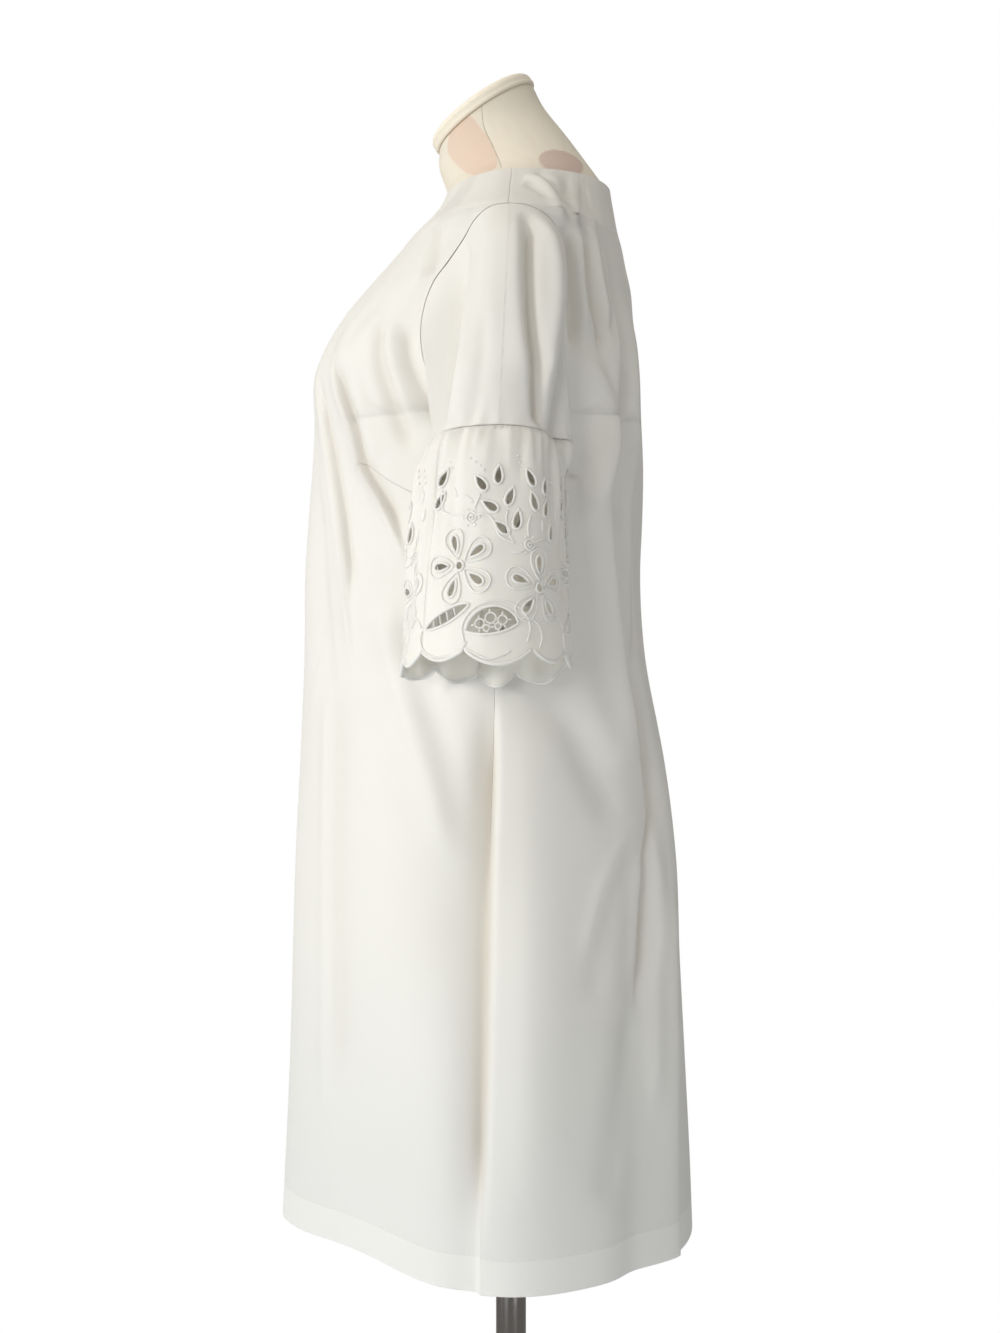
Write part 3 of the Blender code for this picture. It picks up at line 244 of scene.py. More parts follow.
# Creases of the body, each along a path of points from its top down: the girth in degrees and z
# in millimetres. front and back are its widths in millimetres towards the front and the back, so
# a crease can be steep on one side, and a positive depth is a ridge.
CREASE_COLUMNS = ("side", "path", "front", "back", "depth")
CREASES = (
    # fold that hangs from the bust: a ridge, a thin groove behind it and the hollow in front
    (L, ((-73, 1272), (-71.2, 1235), (-67.2, 1203), (-61.6, 1171), (-55.4, 1128), (-51.4, 1093),
     (-49.5, 1055), (-46.5, 990)), 9, 3.6, 2.6),
    (L, ((-69.5, 1252), (-68, 1232), (-64.6, 1203), (-59.1, 1171), (-52.9, 1128), (-49, 1093),
     (-47.2, 1055)), 1.9, 8, -5.2),
    (L, ((-79, 1235), (-74, 1170), (-66, 1120), (-62, 1060), (-58, 960)), 26, 13, -4.5),
    (R, ((-72, 1268), (-70, 1220), (-63, 1165), (-56, 1105), (-51, 1020), (-50, 940)), 13, 5, 3.6),
    (R, ((-68, 1240), (-61, 1168), (-53.6, 1105), (-49, 1030)), 2.1, 8, -4.6),
    (R, ((-80, 1230), (-75, 1160), (-67, 1100), (-64, 940)), 26, 15, -4),
    # crease from the bust down to the end of the dart and on to the waist
    (L, ((-62, 1272), (-58.6, 1246), (-55, 1224), (-50.2, 1201), (-45.9, 1170), (-39.6, 1147),
     (-34, 1124), (-29.6, 1100), (-26, 1075)), 8, 3.4, 2.8),
    (L, ((-59.6, 1262), (-56.3, 1246), (-52.8, 1224), (-47.9, 1201), (-43.6, 1170), (-37.4, 1147),
     (-31.9, 1124), (-27.5, 1100)), 1.8, 9, -6),
    (R, ((-60, 1268), (-54, 1222), (-47, 1180), (-40, 1140), (-31, 1108), (-27, 1080)), 11, 4.6, 3.6),
    (R, ((-57, 1255), (-51.5, 1218), (-44.8, 1178), (-37.8, 1138), (-30, 1106)), 2, 9, -5.2),
    # pulls between the bust and the armhole
    (L, ((-41.5, 1290), (-38.4, 1260), (-35.4, 1235), (-32.4, 1213), (-27.8, 1188), (-24.2, 1172)), 7.5,
     8.5, -5.2),
    (L, ((-36.5, 1288), (-33, 1252), (-28, 1218), (-23, 1190)), 7.5, 6, 3.6),
    (L, ((-31.5, 1280), (-28.2, 1258), (-25.2, 1236), (-20.8, 1215), (-17, 1190)), 5.5, 8, -5),
    (L, ((-25.5, 1262), (-21, 1235), (-16.5, 1205)), 7, 6, 2),
    (L, ((-49.5, 1258), (-45, 1225), (-39.6, 1188), (-35, 1168)), 10, 7, 2.2),
    (R, ((-41, 1285), (-36, 1245), (-30, 1205), (-25, 1172)), 8.5, 8, -3.4),
    (R, ((-34, 1275), (-28, 1232), (-22, 1195)), 7.5, 6.5, 2.8),
    (R, ((-29, 1265), (-23, 1225), (-17, 1185)), 6.5, 7.5, -2.8),
    (L, ((-37.5, 1360), (-33, 1343), (-28.8, 1326), (-26.2, 1306)), 6, 5, -2.6),
    (L, ((-42, 1358), (-37, 1335), (-31, 1308)), 9, 6, 1.8),
    (R, ((-39, 1356), (-33, 1335), (-27, 1306)), 7, 6, -2.2),
    # front of the skirt
    (L, ((-38, 1070), (-32.2, 1012), (-25.2, 957), (-18.5, 904), (-15, 850)), 16, 18, 5.6),
    (L, ((-30, 1060), (-24, 990), (-16.5, 925), (-11, 860)), 12, 16, -5),
    (R, ((-35, 1050), (-28, 980), (-21, 900), (-17, 830)), 18, 22, 3.8),
    (L, ((-60, 1020), (-58, 900), (-57, 760), (-57, 620)), 11, 8, 2.4),
    (L, ((-55, 1010), (-53, 900), (-52, 760), (-52, 640)), 6, 20, -2.8),
    (R, ((-56, 860), (-57, 740), (-55, 600)), 28, 28, 2.8),
    # hollow and ridge along the side seam
    (L, ((-1.2, 1000), (-0.6, 936), (-0.4, 859), (-0.4, 750), (-0.4, 640), (-0.4, 560)), 17, 3.6,
     -11.5),
    (L, ((9, 1010), (10, 936), (11, 859), (11, 720), (11, 570)), 20, 30, 4),
    (R, ((-1, 980), (-0.6, 860), (-0.6, 720), (-0.6, 600)), 16, 4, -8),
    (R, ((2.6, 990), (3.4, 840), (3.8, 660)), 5, 13, 3),
    # puffed roll behind the shoulder seam, with the crease under it
    (L, ((6, 1401), (11.5, 1399.5), (18.5, 1391.2), (23, 1379), (25.5, 1369), (27, 1358), (27.5, 1344)),
     9, 7.5, 4),
    (L, ((8, 1390), (12, 1387.5), (17, 1380), (21, 1370)), 6, 6.5, -1.8),
    (L, ((12, 1407), (18.5, 1403), (24.5, 1392.5), (27.5, 1383), (29.5, 1370)), 4.5, 6, -2.6),
    (R, ((6, 1400.5), (13, 1398), (20, 1387), (25, 1372), (28.5, 1348)), 9, 8, 3.6),
    (R, ((14, 1405), (21, 1394), (26, 1372)), 5, 6, -2.2),
    # back of the bodice
    (L, ((20, 1366.5), (32, 1366), (46, 1365), (64, 1365)), 14, 14, -1.8),
    (R, ((20, 1366.5), (32, 1366), (46, 1365), (64, 1365)), 14, 14, -1.8),
    (L, ((29, 1356), (28, 1342), (27.2, 1327), (28.2, 1300), (29, 1281), (28.5, 1250)), 6.6, 6.6, -7.4),
    (L, ((35, 1406), (32, 1390), (30, 1372), (29, 1356), (28.2, 1340)), 6, 6, -2.2),
    (L, ((36.5, 1386), (33.6, 1346), (32.5, 1321.5), (33.2, 1295), (33.5, 1260)), 7, 5, 3.4),
    (L, ((38.9, 1356), (38, 1340), (37.4, 1323.4), (38.4, 1297), (40.8, 1274), (40, 1252)), 4.6, 7,
     -6.8),
    (L, ((45.5, 1406), (42.6, 1390), (40.6, 1372), (38.9, 1356), (38, 1340)), 5, 6, -2),
    (L, ((46, 1376), (43.6, 1351), (42.4, 1326), (43.2, 1299), (44.4, 1270)), 8, 5.5, 3.6),
    (L, ((46.4, 1350), (47, 1330), (47.6, 1306), (45.5, 1266)), 4.5, 8, -2.8),
    (R, ((31, 1385), (35, 1350), (34, 1290)), 7, 8.5, -4),
    (R, ((41, 1368), (42, 1324), (39, 1282)), 8.5, 6.5, 3),
    # long fold down the back: a ridge that is steep towards the centre back, and a groove behind it
    (L, ((49.2, 1345), (49, 1304), (47.2, 1239), (46, 1210), (44, 1190), (40.5, 1165), (39.4, 1148),
     (40.8, 1120), (45.2, 1060), (47, 1012), (47.6, 985), (49.6, 943), (51.6, 919), (52, 892)), 19, 3.8,
     10.2),
    (L, ((51.7, 1338), (51.5, 1304), (49.7, 1239), (48.5, 1210), (46.6, 1188), (43.2, 1163),
     (42.2, 1146), (43.4, 1120), (47.6, 1060), (49.4, 1012), (50, 985), (52, 943), (54, 919),
     (54.4, 892)), 2.2, 11, -8.8),
    (L, ((51.6, 1010), (51.6, 975), (53, 943), (54.6, 919), (55, 890), (54.6, 868)), 3.4, 15, -7),
    # swollen cloth in front of the long fold
    (L, ((31, 1262), (34.5, 1245), (39.5, 1223), (42, 1200), (41, 1184), (37.5, 1160), (33, 1130),
     (29.5, 1105)), 15, 11, 7.2),
    (L, ((60, 1320), (60.5, 1260), (59, 1190), (57, 1140), (60, 1080), (61, 1020), (59.5, 950),
     (60, 890)), 10, 12, 3),
    (L, ((62, 1110), (62, 1070), (60.5, 1033), (56.5, 1008)), 5, 4, -2.8),
    (R, ((48, 1335), (49.5, 1270), (48, 1200), (47.5, 1150), (50.5, 1090), (52.5, 1020), (53, 950),
     (54, 880)), 20, 5, 5.2),
    (R, ((51, 1325), (52.4, 1265), (50.8, 1200), (50.6, 1150), (53.6, 1090), (55.4, 1020), (55.8, 950),
     (56.8, 880)), 2.4, 11, -6.6),
    # folds below it on the skirt
    (L, ((56, 905), (53.6, 880), (50.8, 848), (50.7, 802), (50.2, 774), (47.2, 734)), 2.6, 6, -7.8),
    (L, ((49, 862), (47.6, 820), (47, 790), (45, 750)), 10, 4, 3),
    (L, ((55.4, 886), (55.6, 860), (55.8, 834), (55.6, 790), (53.5, 740), (52.5, 640)), 6, 11, 4.6),
    (L, ((54.5, 900), (47.5, 884), (41, 868), (33, 838), (28, 803), (25, 770)), 8, 15, 1.8),
    (L, ((49, 868), (42, 846), (36, 818), (31, 780), (28, 740)), 13, 15, -2.2),
    (L, ((47.5, 740), (42, 700), (36.5, 640), (32, 580)), 18, 18, -4),
    (L, ((12, 1000), (16, 988), (25.5, 957), (33.2, 915), (42.2, 885)), 18, 18, -5.2),
    (L, ((20, 1030), (30, 995), (39, 950), (48, 915)), 16, 16, 3),
    (L, ((62.8, 850), (61.4, 750), (60.8, 660), (60, 529)), 18, 6, 4.6),
    (R, ((54.5, 895), (51.5, 850), (50.5, 800), (49, 755)), 4, 6, -5.4),
    (R, ((53, 890), (46, 872), (38, 840), (31, 790)), 7, 13, 3),
    (R, ((48, 780), (44, 720), (38, 640), (34, 570)), 18, 18, -4.2),
    (R, ((56.5, 870), (56, 790), (55, 640)), 7, 12, 3.6),
    (R, ((16, 1000), (26, 965), (36, 925), (45, 890)), 15, 15, -4),
    (R, ((64, 840), (63, 700), (62, 529)), 18, 7, 4.2),
    # under the arms
    (L, ((16, 1166), (22, 1160), (28, 1154)), 4, 4, -1.6),
    (L, ((9, 1215), (14, 1170), (14, 1110)), 10, 10, 2.2),
    (R, ((10, 1210), (15, 1160), (15, 1100)), 10, 10, 2.2),
)
SHOULDER_EDGE_Z = 1.367  # hollows are shallower where they cross the shoulder's edge
SHOULDER_EDGE_REACH = 0.012
EDGE_CALM = 0.9
# painted shade in the hollows: only creases narrower than the first get it, and it is full at the
# second's depth
WIDEST_SHADED_CREASE = 0.0105
FULL_SHADE_DEPTH = 0.011
SHARP = 0.0047  # the columns of a panel crowd to creases that are narrower than this
CROWDING = 2.6
CROWD_WIDTH = 1.7  # degrees
CROWD_FADE = 0.03

# Bust darts from the bust down to the side seam, as points of girth and z in metres.
DARTS = {
    "left": ((-44.5, 1.17), (-25.8, 1.143), (0, 1.106)),
    "right": ((-44.5, 1.169), (-25.8, 1.142), (0, 1.106)),
}
DART_FAR = 0.02  # the dart's mark where no dart is near

# Creases of the sleeves along paths of (rib, share of the length) points, their widths and
# depths in millimetres as well.
SLEEVE_CREASES = (
    # deep valley down the back of the arm between two ridges
    (L, ((19.2, 0.06), (19.07, 0.23), (19.03, 0.347), (18.98, 0.523), (18.82, 0.677), (18.57, 0.79),
     (18.45, 0.86), (18.23, 0.973)), 5.6, 5.6, -11),
    (L, ((18.6, 0.05), (18.38, 0.19), (18.12, 0.3), (17.93, 0.45), (17.9, 0.6), (18.02, 0.74),
     (18.02, 0.9)), 8.5, 8, 6),
    (L, ((19.75, 0.1), (19.5, 0.3), (19.42, 0.52), (19.25, 0.7), (18.95, 0.9)), 11, 6, 3),
    # lobe at the front of the arm: a ridge, steep towards the front, and a groove before it
    (L, ((2.95, 0.02), (2.75, 0.11), (2.42, 0.3), (2.22, 0.61), (2.06, 0.8), (2.1, 0.97)), 3.4, 15,
     3.4),
    (L, ((3.3, 0.02), (3.12, 0.107), (2.77, 0.3), (2.56, 0.61), (2.38, 0.8), (2.45, 0.97)), 6, 2.2, -5),
    (L, ((1.95, 0.16), (1.93, 0.4), (1.6, 0.66), (1.5, 0.84)), 10, 12, -2.4),
    (L, ((0.55, 0.1), (0.6, 0.4), (0.7, 0.75)), 14, 14, 1.8),
    (L, ((0.9, 0.6), (0.8, 0.8), (0.95, 0.97)), 6, 6, -1.2),
    (R, ((19.15, 0.05), (18.95, 0.24), (18.92, 0.45), (18.7, 0.72), (18.4, 0.93)), 5.2, 7, -6.6),
    (R, ((18.45, 0.06), (18.05, 0.3), (17.9, 0.6), (17.95, 0.88)), 8.5, 10, 3.6),
    (R, ((2.8, 0.03), (2.4, 0.32), (2.15, 0.65), (2.05, 0.95)), 4.6, 15, 3.4),
    (R, ((3.15, 0.03), (2.74, 0.32), (2.48, 0.65), (2.38, 0.95)), 7, 3.2, -2.8),
    (R, ((1.7, 0.2), (1.75, 0.5), (1.5, 0.8)), 11, 12, -2),
    (R, ((0.4, 0.12), (0.55, 0.5), (0.7, 0.8)), 14, 14, 1.8),
)
SLEEVE_OPEN_END = 0.95  # a crease that goes this far down the sleeve runs on into the seam
SLEEVE_CALM = (0.07, 0.05)  # shares of the length over which creases rise from either edge
SLEEVE_CREASE_SHADE = 0.5  # how strong the painted shade of the hollows is on a sleeve
SLEEVE_CROWDS = ((18.8, 0.75), (2.7, 0.7))  # the rib that columns crowd to, and how widely
SLEEVE_CROWDING = 2.2

INSET_COLUMNS = ("z", "front_inset", "back_inset")
FORM_INSETS = (
    (0.73, 0.03, 0.03), (0.82, 0.024, 0.03), (0.92, 0.034, 0.034), (1.01, 0.044, 0.04),
    (1.08, 0.04, 0.038), (1.15, 0.024, 0.03), (1.21, 0.0125, 0.022), (1.26, 0.01, 0.015),
    (1.31, 0.008, 0.0125), (1.345, 0.0064, 0.0115), (1.365, 0.006, 0.0108), (1.385, 0.0045, 0.008),
    (1.4, 0.003, 0.004), (1.42, 0.0026, 0.0026),
)
INSET_TURN = 20  # degrees on either hand of the side over which one gives way to the other
# Rings under the torso: their size against the lowest section, and their height above it.
FORM_UNDERSIDE = ((0.3, 0), (0.8, 0), (0.94, 0), (0.968, 0.001), (0.985, 0.004), (0.995, 0.01))
FORM_ROUNDING = 0.017
FORM_GIRTH = 0.9
# Sections of the neck: y and z of the middle, half depth, half width, and tilt in degrees.
NECK_SECTIONS = (
    (0.0105, 1.4225, 0.065, 0.079, 5),
    (0.004, 1.433, 0.061, 0.0655, 11),
    (-0.0055, 1.448, 0.0565, 0.056, 19),
    (-0.0165, 1.4655, 0.052, 0.05, 28),
    (-0.0215, 1.4825, 0.0488, 0.048, 34),
)
NECK_JOIN = (0.2, 0.4, 0.6, 0.8)  # rings between the torso and the neck
NECK_SEAM = (-18, 13)  # girth of the side seam at the dress, and its turn to the cap
SEAM_FAR = 0.02  # the seam's mark where no seam is near
# Stains on each side of the cover: an ellipse's middle and its half sizes. The pink one lies
# ahead of the seam; the one behind it, pink darkened with painted shade, is taller below its
# middle than above.
PINK_MIDDLE = (0.019, 1.443)  # ahead of the seam, and z
PINK_SIZE = (0.0205, 0.033)
PINK_FROM_SEAM = 0.0004
PINK_SHARE = 0.85
SHADED_PINK_MIDDLE = (0.0417, 1.4295)  # y and z
SHADED_PINK_LENGTH = 0.02
SHADED_PINK_HEIGHTS = (0.02, 0.013)
SHADED_PINK_SHARE = 0.8
STAIN_EDGE = 0.1

# ---- tables of the cutwork
# One repeat lying flat. Each motif: across from its edge, down from the seam, and its turn in
# degrees from across. A size is the motif's length and width.
FLOWERS = ((0.033, 0.105, 108), (0.097, 0.121, 90))
PETALS = 5
PETAL_EYELET = (0.0122, 0.0056)
PETAL_EYELET_OUT = 0.017
PETAL_REACH = (0.0055, 0.0285, 0.0094)  # where a petal's loop starts and ends, half its width
FLOWER_EYE = (0.0056, 0.0046)
LEAVES = (
    (0.013, 0.039, 58), (0.011, 0.056, 52), (0.048, 0.045, 128), (0.062, 0.039, 86),
    (0.056, 0.062, 150), (0.072, 0.055, 68), (0.0655, 0.078, 142), (0.078, 0.072, 82),
    (0.089, 0.04, 118), (0.092, 0.0575, 110), (0.105, 0.044, 80), (0.106, 0.061, 72),
    (0.113, 0.078, 78),
)
LEAF_EYELET = (0.0125, 0.006)
LEAF_TIP = ((0.00625, 0), (0.00925, 0.0005))  # the thread at a leaf's point
CRESCENT = (0.0235, 0.142, 24)
CRESCENT_SIZE = (0.04, 0.0082)
CRESCENT_BARS = (-0.62, -0.28, 0.06, 0.4)
BAR_SLANT = 0.0012
SHELL = (0.06, 0.15, 8)
SHELL_SIZE = (0.0375, 0.0188)
# Netting in the shell: rings of (x, y, radius), and the ties that hold them.
NET_RINGS = (
    (-0.0085, 0.0035, 0.0033), (-0.0005, 0.0062, 0.0038), (0.0078, 0.0036, 0.0033),
    (-0.0042, -0.0006, 0.0022), (0.0042, -0.0004, 0.0022),
)
NET_TIES = (
    ((-0.0118, 0.0035), (-0.015, 0.003)), ((-0.0085, 0.0068), (-0.0092, 0.01)),
    ((-0.0052, 0.0042), (-0.0043, 0.0056)), ((-0.0005, 0.01), (-0.0005, 0.0132)),
    ((0.0033, 0.0058), (0.0046, 0.0044)), ((0.0078, 0.0069), (0.0088, 0.01)),
    ((0.0111, 0.0036), (0.0148, 0.0028)), ((-0.0042, -0.0028), (-0.0045, -0.0044)),
    ((0.0042, -0.0026), (0.0045, -0.0044)), ((-0.002, -0.0006), (0.002, -0.0004)),
    ((-0.0085, 0.0002), (-0.0098, -0.0028)), ((0.008, 0.0003), (0.0098, -0.0028)),
    ((-0.0022, 0.0008), (-0.001, 0.0024)), ((0.0022, 0.001), (0.001, 0.0024)),
)
SCALLOP_ENDS = (0, 0.04, 0.09, 0.13)
SCALLOP_DEPTHS = (0.008, 0.012, 0.0095)
FILLED_LEAVES = (
    (0.119, 0.05, 84), (0.1215, 0.064, 80), (0.025, 0.05, 118), (0.101, 0.0745, 96),
    (0.0385, 0.056, 140),
)
FILLED_LEAF = (0.0098, 0.0034)
ROSETTES = ((0.041, 0.07), (0.088, 0.09))
ROSETTE_RINGS = (0.0016, 0.004)
ROSETTE_DOTS = 6
ROSETTE_DOTS_OUT = 0.0066
ROSETTE_DOT = 0.0024
ROSETTE_STEP = 0.0009
KNOTS = (
    (0.038, 0.026), (0.0425, 0.029), (0.0465, 0.032), (0.05, 0.035),
    (0.078, 0.024), (0.08, 0.029), (0.0815, 0.034),
    (0.118, 0.03), (0.1195, 0.035), (0.1205, 0.04),
    (0.018, 0.027), (0.02, 0.032),
)
KNOT_RADIUS = 0.001
STEMS = (
    ((0.0368, 0.07), (0.03, 0.0672), (0.022, 0.0668), (0.015, 0.064)),
    ((0.015, 0.064), (0.012, 0.056), (0.0125, 0.048)),
    ((0.0425, 0.0655), (0.0455, 0.059), (0.048, 0.053)),
    ((0.045, 0.069), (0.052, 0.068), (0.058, 0.072), (0.064, 0.084), (0.076, 0.09)),
    ((0.07, 0.065), (0.069, 0.072), (0.071, 0.082), (0.076, 0.09)),
    ((0.087, 0.0845), (0.0865, 0.076), (0.089, 0.068)),
    ((0.0925, 0.088), (0.1, 0.085), (0.108, 0.085), (0.114, 0.087)),
    ((0.112, 0.071), (0.1145, 0.06), (0.1135, 0.05)),
    ((0.0845, 0.093), (0.08, 0.096), (0.074, 0.096)),
)
# Arcs round the scallops: centre across and down, the two radii, first and last angle.
LOBES = (
    (0.063, 0.152, 0.0255, 0.0205, 205, -35),
    (0.085, 0.157, 0.014, 0.0135, 100, -95),
    (0.057, 0.161, 0.019, 0.012, 195, 345),
    (0.0205, 0.156, 0.0225, 0.015, 160, 350),
    (0.111, 0.156, 0.0185, 0.017, 150, 20),
)
CORD = (0.0017, 0.0011)  # width and height of a satin-stitched outline
BORDER = (0.0022, 0.0013)  # the border of an opening
HEM_BORDER = (0.0028, 0.0014)
THREAD = (0.0013, 0.0011)  # a bar or a thread of netting
STITCH_PITCH = 0.00038  # from one satin stitch to the next
CORD_SIDES = 6
CORD_END = 0.25  # size of an open cord's ends
CORD_LIFT = 0.0001
CORD_STEP = 0.0013
FINE_STEP = 0.001
HEM_CORD_STEP = 0.0012
PAD_HEIGHT = 0.0009
PAD_SINK = 0.0001
PAD_SIZES = (1, 0.93, 0.72, 0.4, 0.08)
EYE_MARGIN = 0.0009  # how far the middle of a border lies outside its opening
DROP_MARGIN = 0.0008
SLOT_MARGIN = 0.0007
HEM_MARGIN = 0.0009  # how far the hem's border lies inside its edge
LOBE_MARGIN = 0.002

# ---- how finely the meshes are cut
FRONT_COLUMNS = 96
BACK_COLUMNS = 144
SKIRT_ROWS = 88
BUST_ROWS = 58
BUST_ROWS_Z = 1.02
ARMHOLE_ROWS = 60
SHOULDER_ROWS = 26
SLEEVE_STEPS = 240
SLEEVE_ROWS = 88
FORM_COLUMNS = 240
FORM_LEVELS = 64
NECK_RINGS = 48
CAP_STEPS = 128
BASE_STEPS = 160
POLE_STEPS = 72
HEM_EDGE_ROWS = (0, 0.0003, 0.0007, 0.0012)  # rows on the rolled edges, from the edge
PAST_HEM_EDGE = 0.003
TIP_CLEARANCE = 0.0002
NECK_EDGE_ROWS = (0.0012, 0.0005)
EDGE_SHARES = (0, 0.0012, 0.0028)  # columns on a rolled edge, in shares of a row
PAST_EDGE_SHARES = 0.0055
SLEEVE_EDGE_SHARES = (0, 0.003, 0.007)
LEVEL_SAMPLES = 1200  # points of dense lines, only read from
LINE_SAMPLES = 3000
ROW_SAMPLES = 1500
FLOUNCE_SAMPLES = 600
SLEEVE_SAMPLES = 4001
FILL_SPACING = 0.0033
FILL_ROW_SPACING = 0.87  # of the spacing across
FIRST_FILL_ROW = 0.0012
FILL_CLEARANCE = 0.0013
FILL_LOOK = 0.003  # only points this near to an opening are measured
SEAM_SPACING = 0.0022
HEM_SPACING = 0.0018
BACK_POINTS = 56

PRICK_GIRTHS = (-88, 88.5, 2.9)  # the hem's stitches: first, last and spacing, in degrees
PRICK_HALF = 0.26
PRICK_RADIUS = 0.00024
PRICK_SINK = 0.00005
PRICK_RINGS = ((0, 0.3), (0.25, 1), (0.75, 1), (1, 0.3))  # share along, and size
PRICK_SIDES = 6


# ---- curves through tables
def column(rows, names, name):
    """One named column of a table as an array."""
    return np.array([row[names.index(name)] for row in rows])


def smooth_through(keys, values, at):
    """Cubic Hermite curve through (keys, values), its slopes taken across the neighbours."""
    slopes = np.gradient(values, keys)
    at = np.clip(at, keys[0], keys[-1])
    i = np.clip(np.searchsorted(keys, at, side="right") - 1, 0, len(keys) - 2)
    step = keys[i + 1] - keys[i]
    t = (at - keys[i]) / step
    start = (1 + 2 * t) * (1 - t) ** 2 * values[i] + t * (1 - t) ** 2 * slopes[i] * step
    return start + t**2 * (3 - 2 * t) * values[i + 1] + t**2 * (t - 1) * slopes[i + 1] * step


def curve_through(points, at):
    """The same curve through a few points, at counts of points along it."""
    keys = np.arange(len(points), dtype=float)
    return np.stack([smooth_through(keys, values, at) for values in np.array(points, float).T], axis=-1)


def closed_through(values, at):
    """The same curve through values that repeat, one for each whole number of at."""
    n = len(values)
    keys = np.arange(-3, n + 4)
    return smooth_through(keys.astype(float), values[keys % n], np.mod(at, n))


def body_column(name, z):
    """One measure of the body's sections at the levels z."""
    return smooth_through(
        column(BODY_SECTIONS, BODY_COLUMNS, "z"), column(BODY_SECTIONS, BODY_COLUMNS, name), z)


def ease(t):
    """Smooth step from 0 to 1: three times t squared less twice t cubed."""
    t = np.clip(t, 0, 1)
    return t * t * (3 - 2 * t)


def stacked(*arrays):
    """Arrays joined along a new last axis."""
    return np.stack(arrays, axis=-1)


def unit(vectors):
    """Vectors over their lengths."""
    return vectors / np.linalg.norm(vectors, axis=-1, keepdims=True)


def even_turns(count):
    """Even angles round a circle."""
    return np.linspace(0, 2 * math.pi, count, endpoint=False)


# ---- form of the dress body
def section_point(girth, z):
    """Superellipse section: x and y are powers of the cosine and sine of the girth angle."""
    turn = np.radians(girth)
    ahead = girth < 0
    square = np.where(ahead, body_column("front_squareness", z), body_column("back_squareness", z))
    side = body_column("side", z)
    reach = np.where(ahead, side - body_column("front", z), body_column("back", z) - side)
    x = body_column("half_width", z) * np.maximum(np.cos(turn), 0) ** (2 / square)
    y = side + np.sign(turn) * reach * np.abs(np.sin(turn)) ** (2 / square)
    return x, y


def girth_of(y, z):
    """The girth angle of the point at depth y on the level section z."""
    side = body_column("side", z)
    ahead = y < side
    square = np.where(ahead, body_column("front_squareness", z), body_column("back_squareness", z))
    reach = np.where(ahead, side - body_column("front", z), body_column("back", z) - side)
    share = np.clip(np.abs(y - side) / reach, 0, 1)
    return np.degrees(np.arcsin(share ** (square / 2))) * np.where(ahead, -1, 1)


def plain_body(girth, z):
    """Points of the left side with no folds; the neckline rises towards the back."""
    x, y = section_point(girth, z)
    tilt = NECKLINE_TILT * ease((z - SHOULDER_TIP_Z) / (NECKLINE_Z - SHOULDER_TIP_Z))
    return stacked(x, y, z + tilt * y)


def body_normal(girth, z):
    """Outward normal of the plain body, from differences round it and up it, which are wide
    enough to turn it gently over the shoulder's edge."""
    step_g, step_z = 0.5, 0.007
    inner = np.clip(girth, -89, 89)
    low = np.clip(z, HEM_Z + step_z, NECKLINE_Z - step_z)
    across = plain_body(inner + step_g, low) - plain_body(inner - step_g, low)
    up = plain_body(inner, low + step_z) - plain_body(inner, low - step_z)
    normal = np.cross(across, up)
    normal[..., 0] = np.where(np.abs(girth) > 89, 0, normal[..., 0])
    return unit(normal)


def fold_depth(girth, z, side):
    """Sum of the broad folds: each a bell across its line, fading towards the line's ends."""
    depth = np.zeros(girth.shape)
    for fold_side, girth_top, z_top, girth_low, z_low, width, height in FOLDS:
        if fold_side not in ("both", side):
            continue
        along = (z_top - z) / (z_top - z_low)
        line = girth_top + (girth_low - girth_top) * along
        lean = (girth_low - girth_top) * METRES_PER_DEGREE
        lean = lean / (z_top - z_low)
        off = (girth - line) / width / math.sqrt(1 + lean**2)
        fade = ease(along / FOLD_FADE)
        if z_low > NEAR_HEM:
            fade = fade * ease((1 - along) / FOLD_FADE)
        depth += height * np.exp(-off**2) * np.where(along > 0, fade, 0)
    return depth


def nearest_leg(points, line):
    """The leg of a line that is nearest to each point, the share along it, and the way from the
    line to the point with its length."""
    leg = np.diff(line, axis=0)
    offset = points[:, None] - line[:-1]
    share = (offset * leg).sum(-1) / np.linalg.norm(leg, axis=-1) ** 2
    away = offset - np.clip(share, 0, 1)[..., None] * leg
    distance = np.linalg.norm(away, axis=-1)
    best = distance.argmin(axis=1)
    pick = np.arange(len(points)), best
    return best, leg[best], share[pick], away[pick], distance[pick]


def crease_depth(points, normals, line, crease, open_end):
    """One crease on any surface: a bell of the distance from its line, as wide on either hand
    as the crease says, fading over the first and last fifth of the line, or the first only."""
    near = (points > line.min(axis=0) - CREASE_REACH).all(axis=-1)
    near &= (points < line.max(axis=0) + CREASE_REACH).all(axis=-1)
    depth = np.zeros(points.shape[:-1])
    spot, facing = points[near], normals[near]
    if not len(spot):
        return depth
    best, leg, share, away, distance = nearest_leg(spot, line)
    behind = (np.cross(facing, leg) * away).sum(-1) > 0
    width = np.where(behind, crease["back"], crease["front"])
    run = run_from(line, 0)
    length = np.linalg.norm(leg, axis=-1)
    along = (run[best] + np.clip(share, 0, 1) * length) / run[-1]
    fade = ease(along / CREASE_FADE) * (1 if open_end else ease((1 - along) / CREASE_FADE))
    depth[near] = crease["depth"] * np.exp(-((distance / width) ** 2)) * fade
    return depth


def creases_of(table, path_units):
    """The rows of a table of creases, in metres."""
    for side, path, *sizes in table:
        path = np.array(path, float) / path_units
        yield dict(zip(CREASE_COLUMNS, (side, path, *np.array(sizes) / 1000)))


def path_line(path, surface, count=26):
    """A smooth line on a surface through a crease's few points."""
    return surface(*curve_through(path, np.linspace(0, len(path) - 1, count)).T)


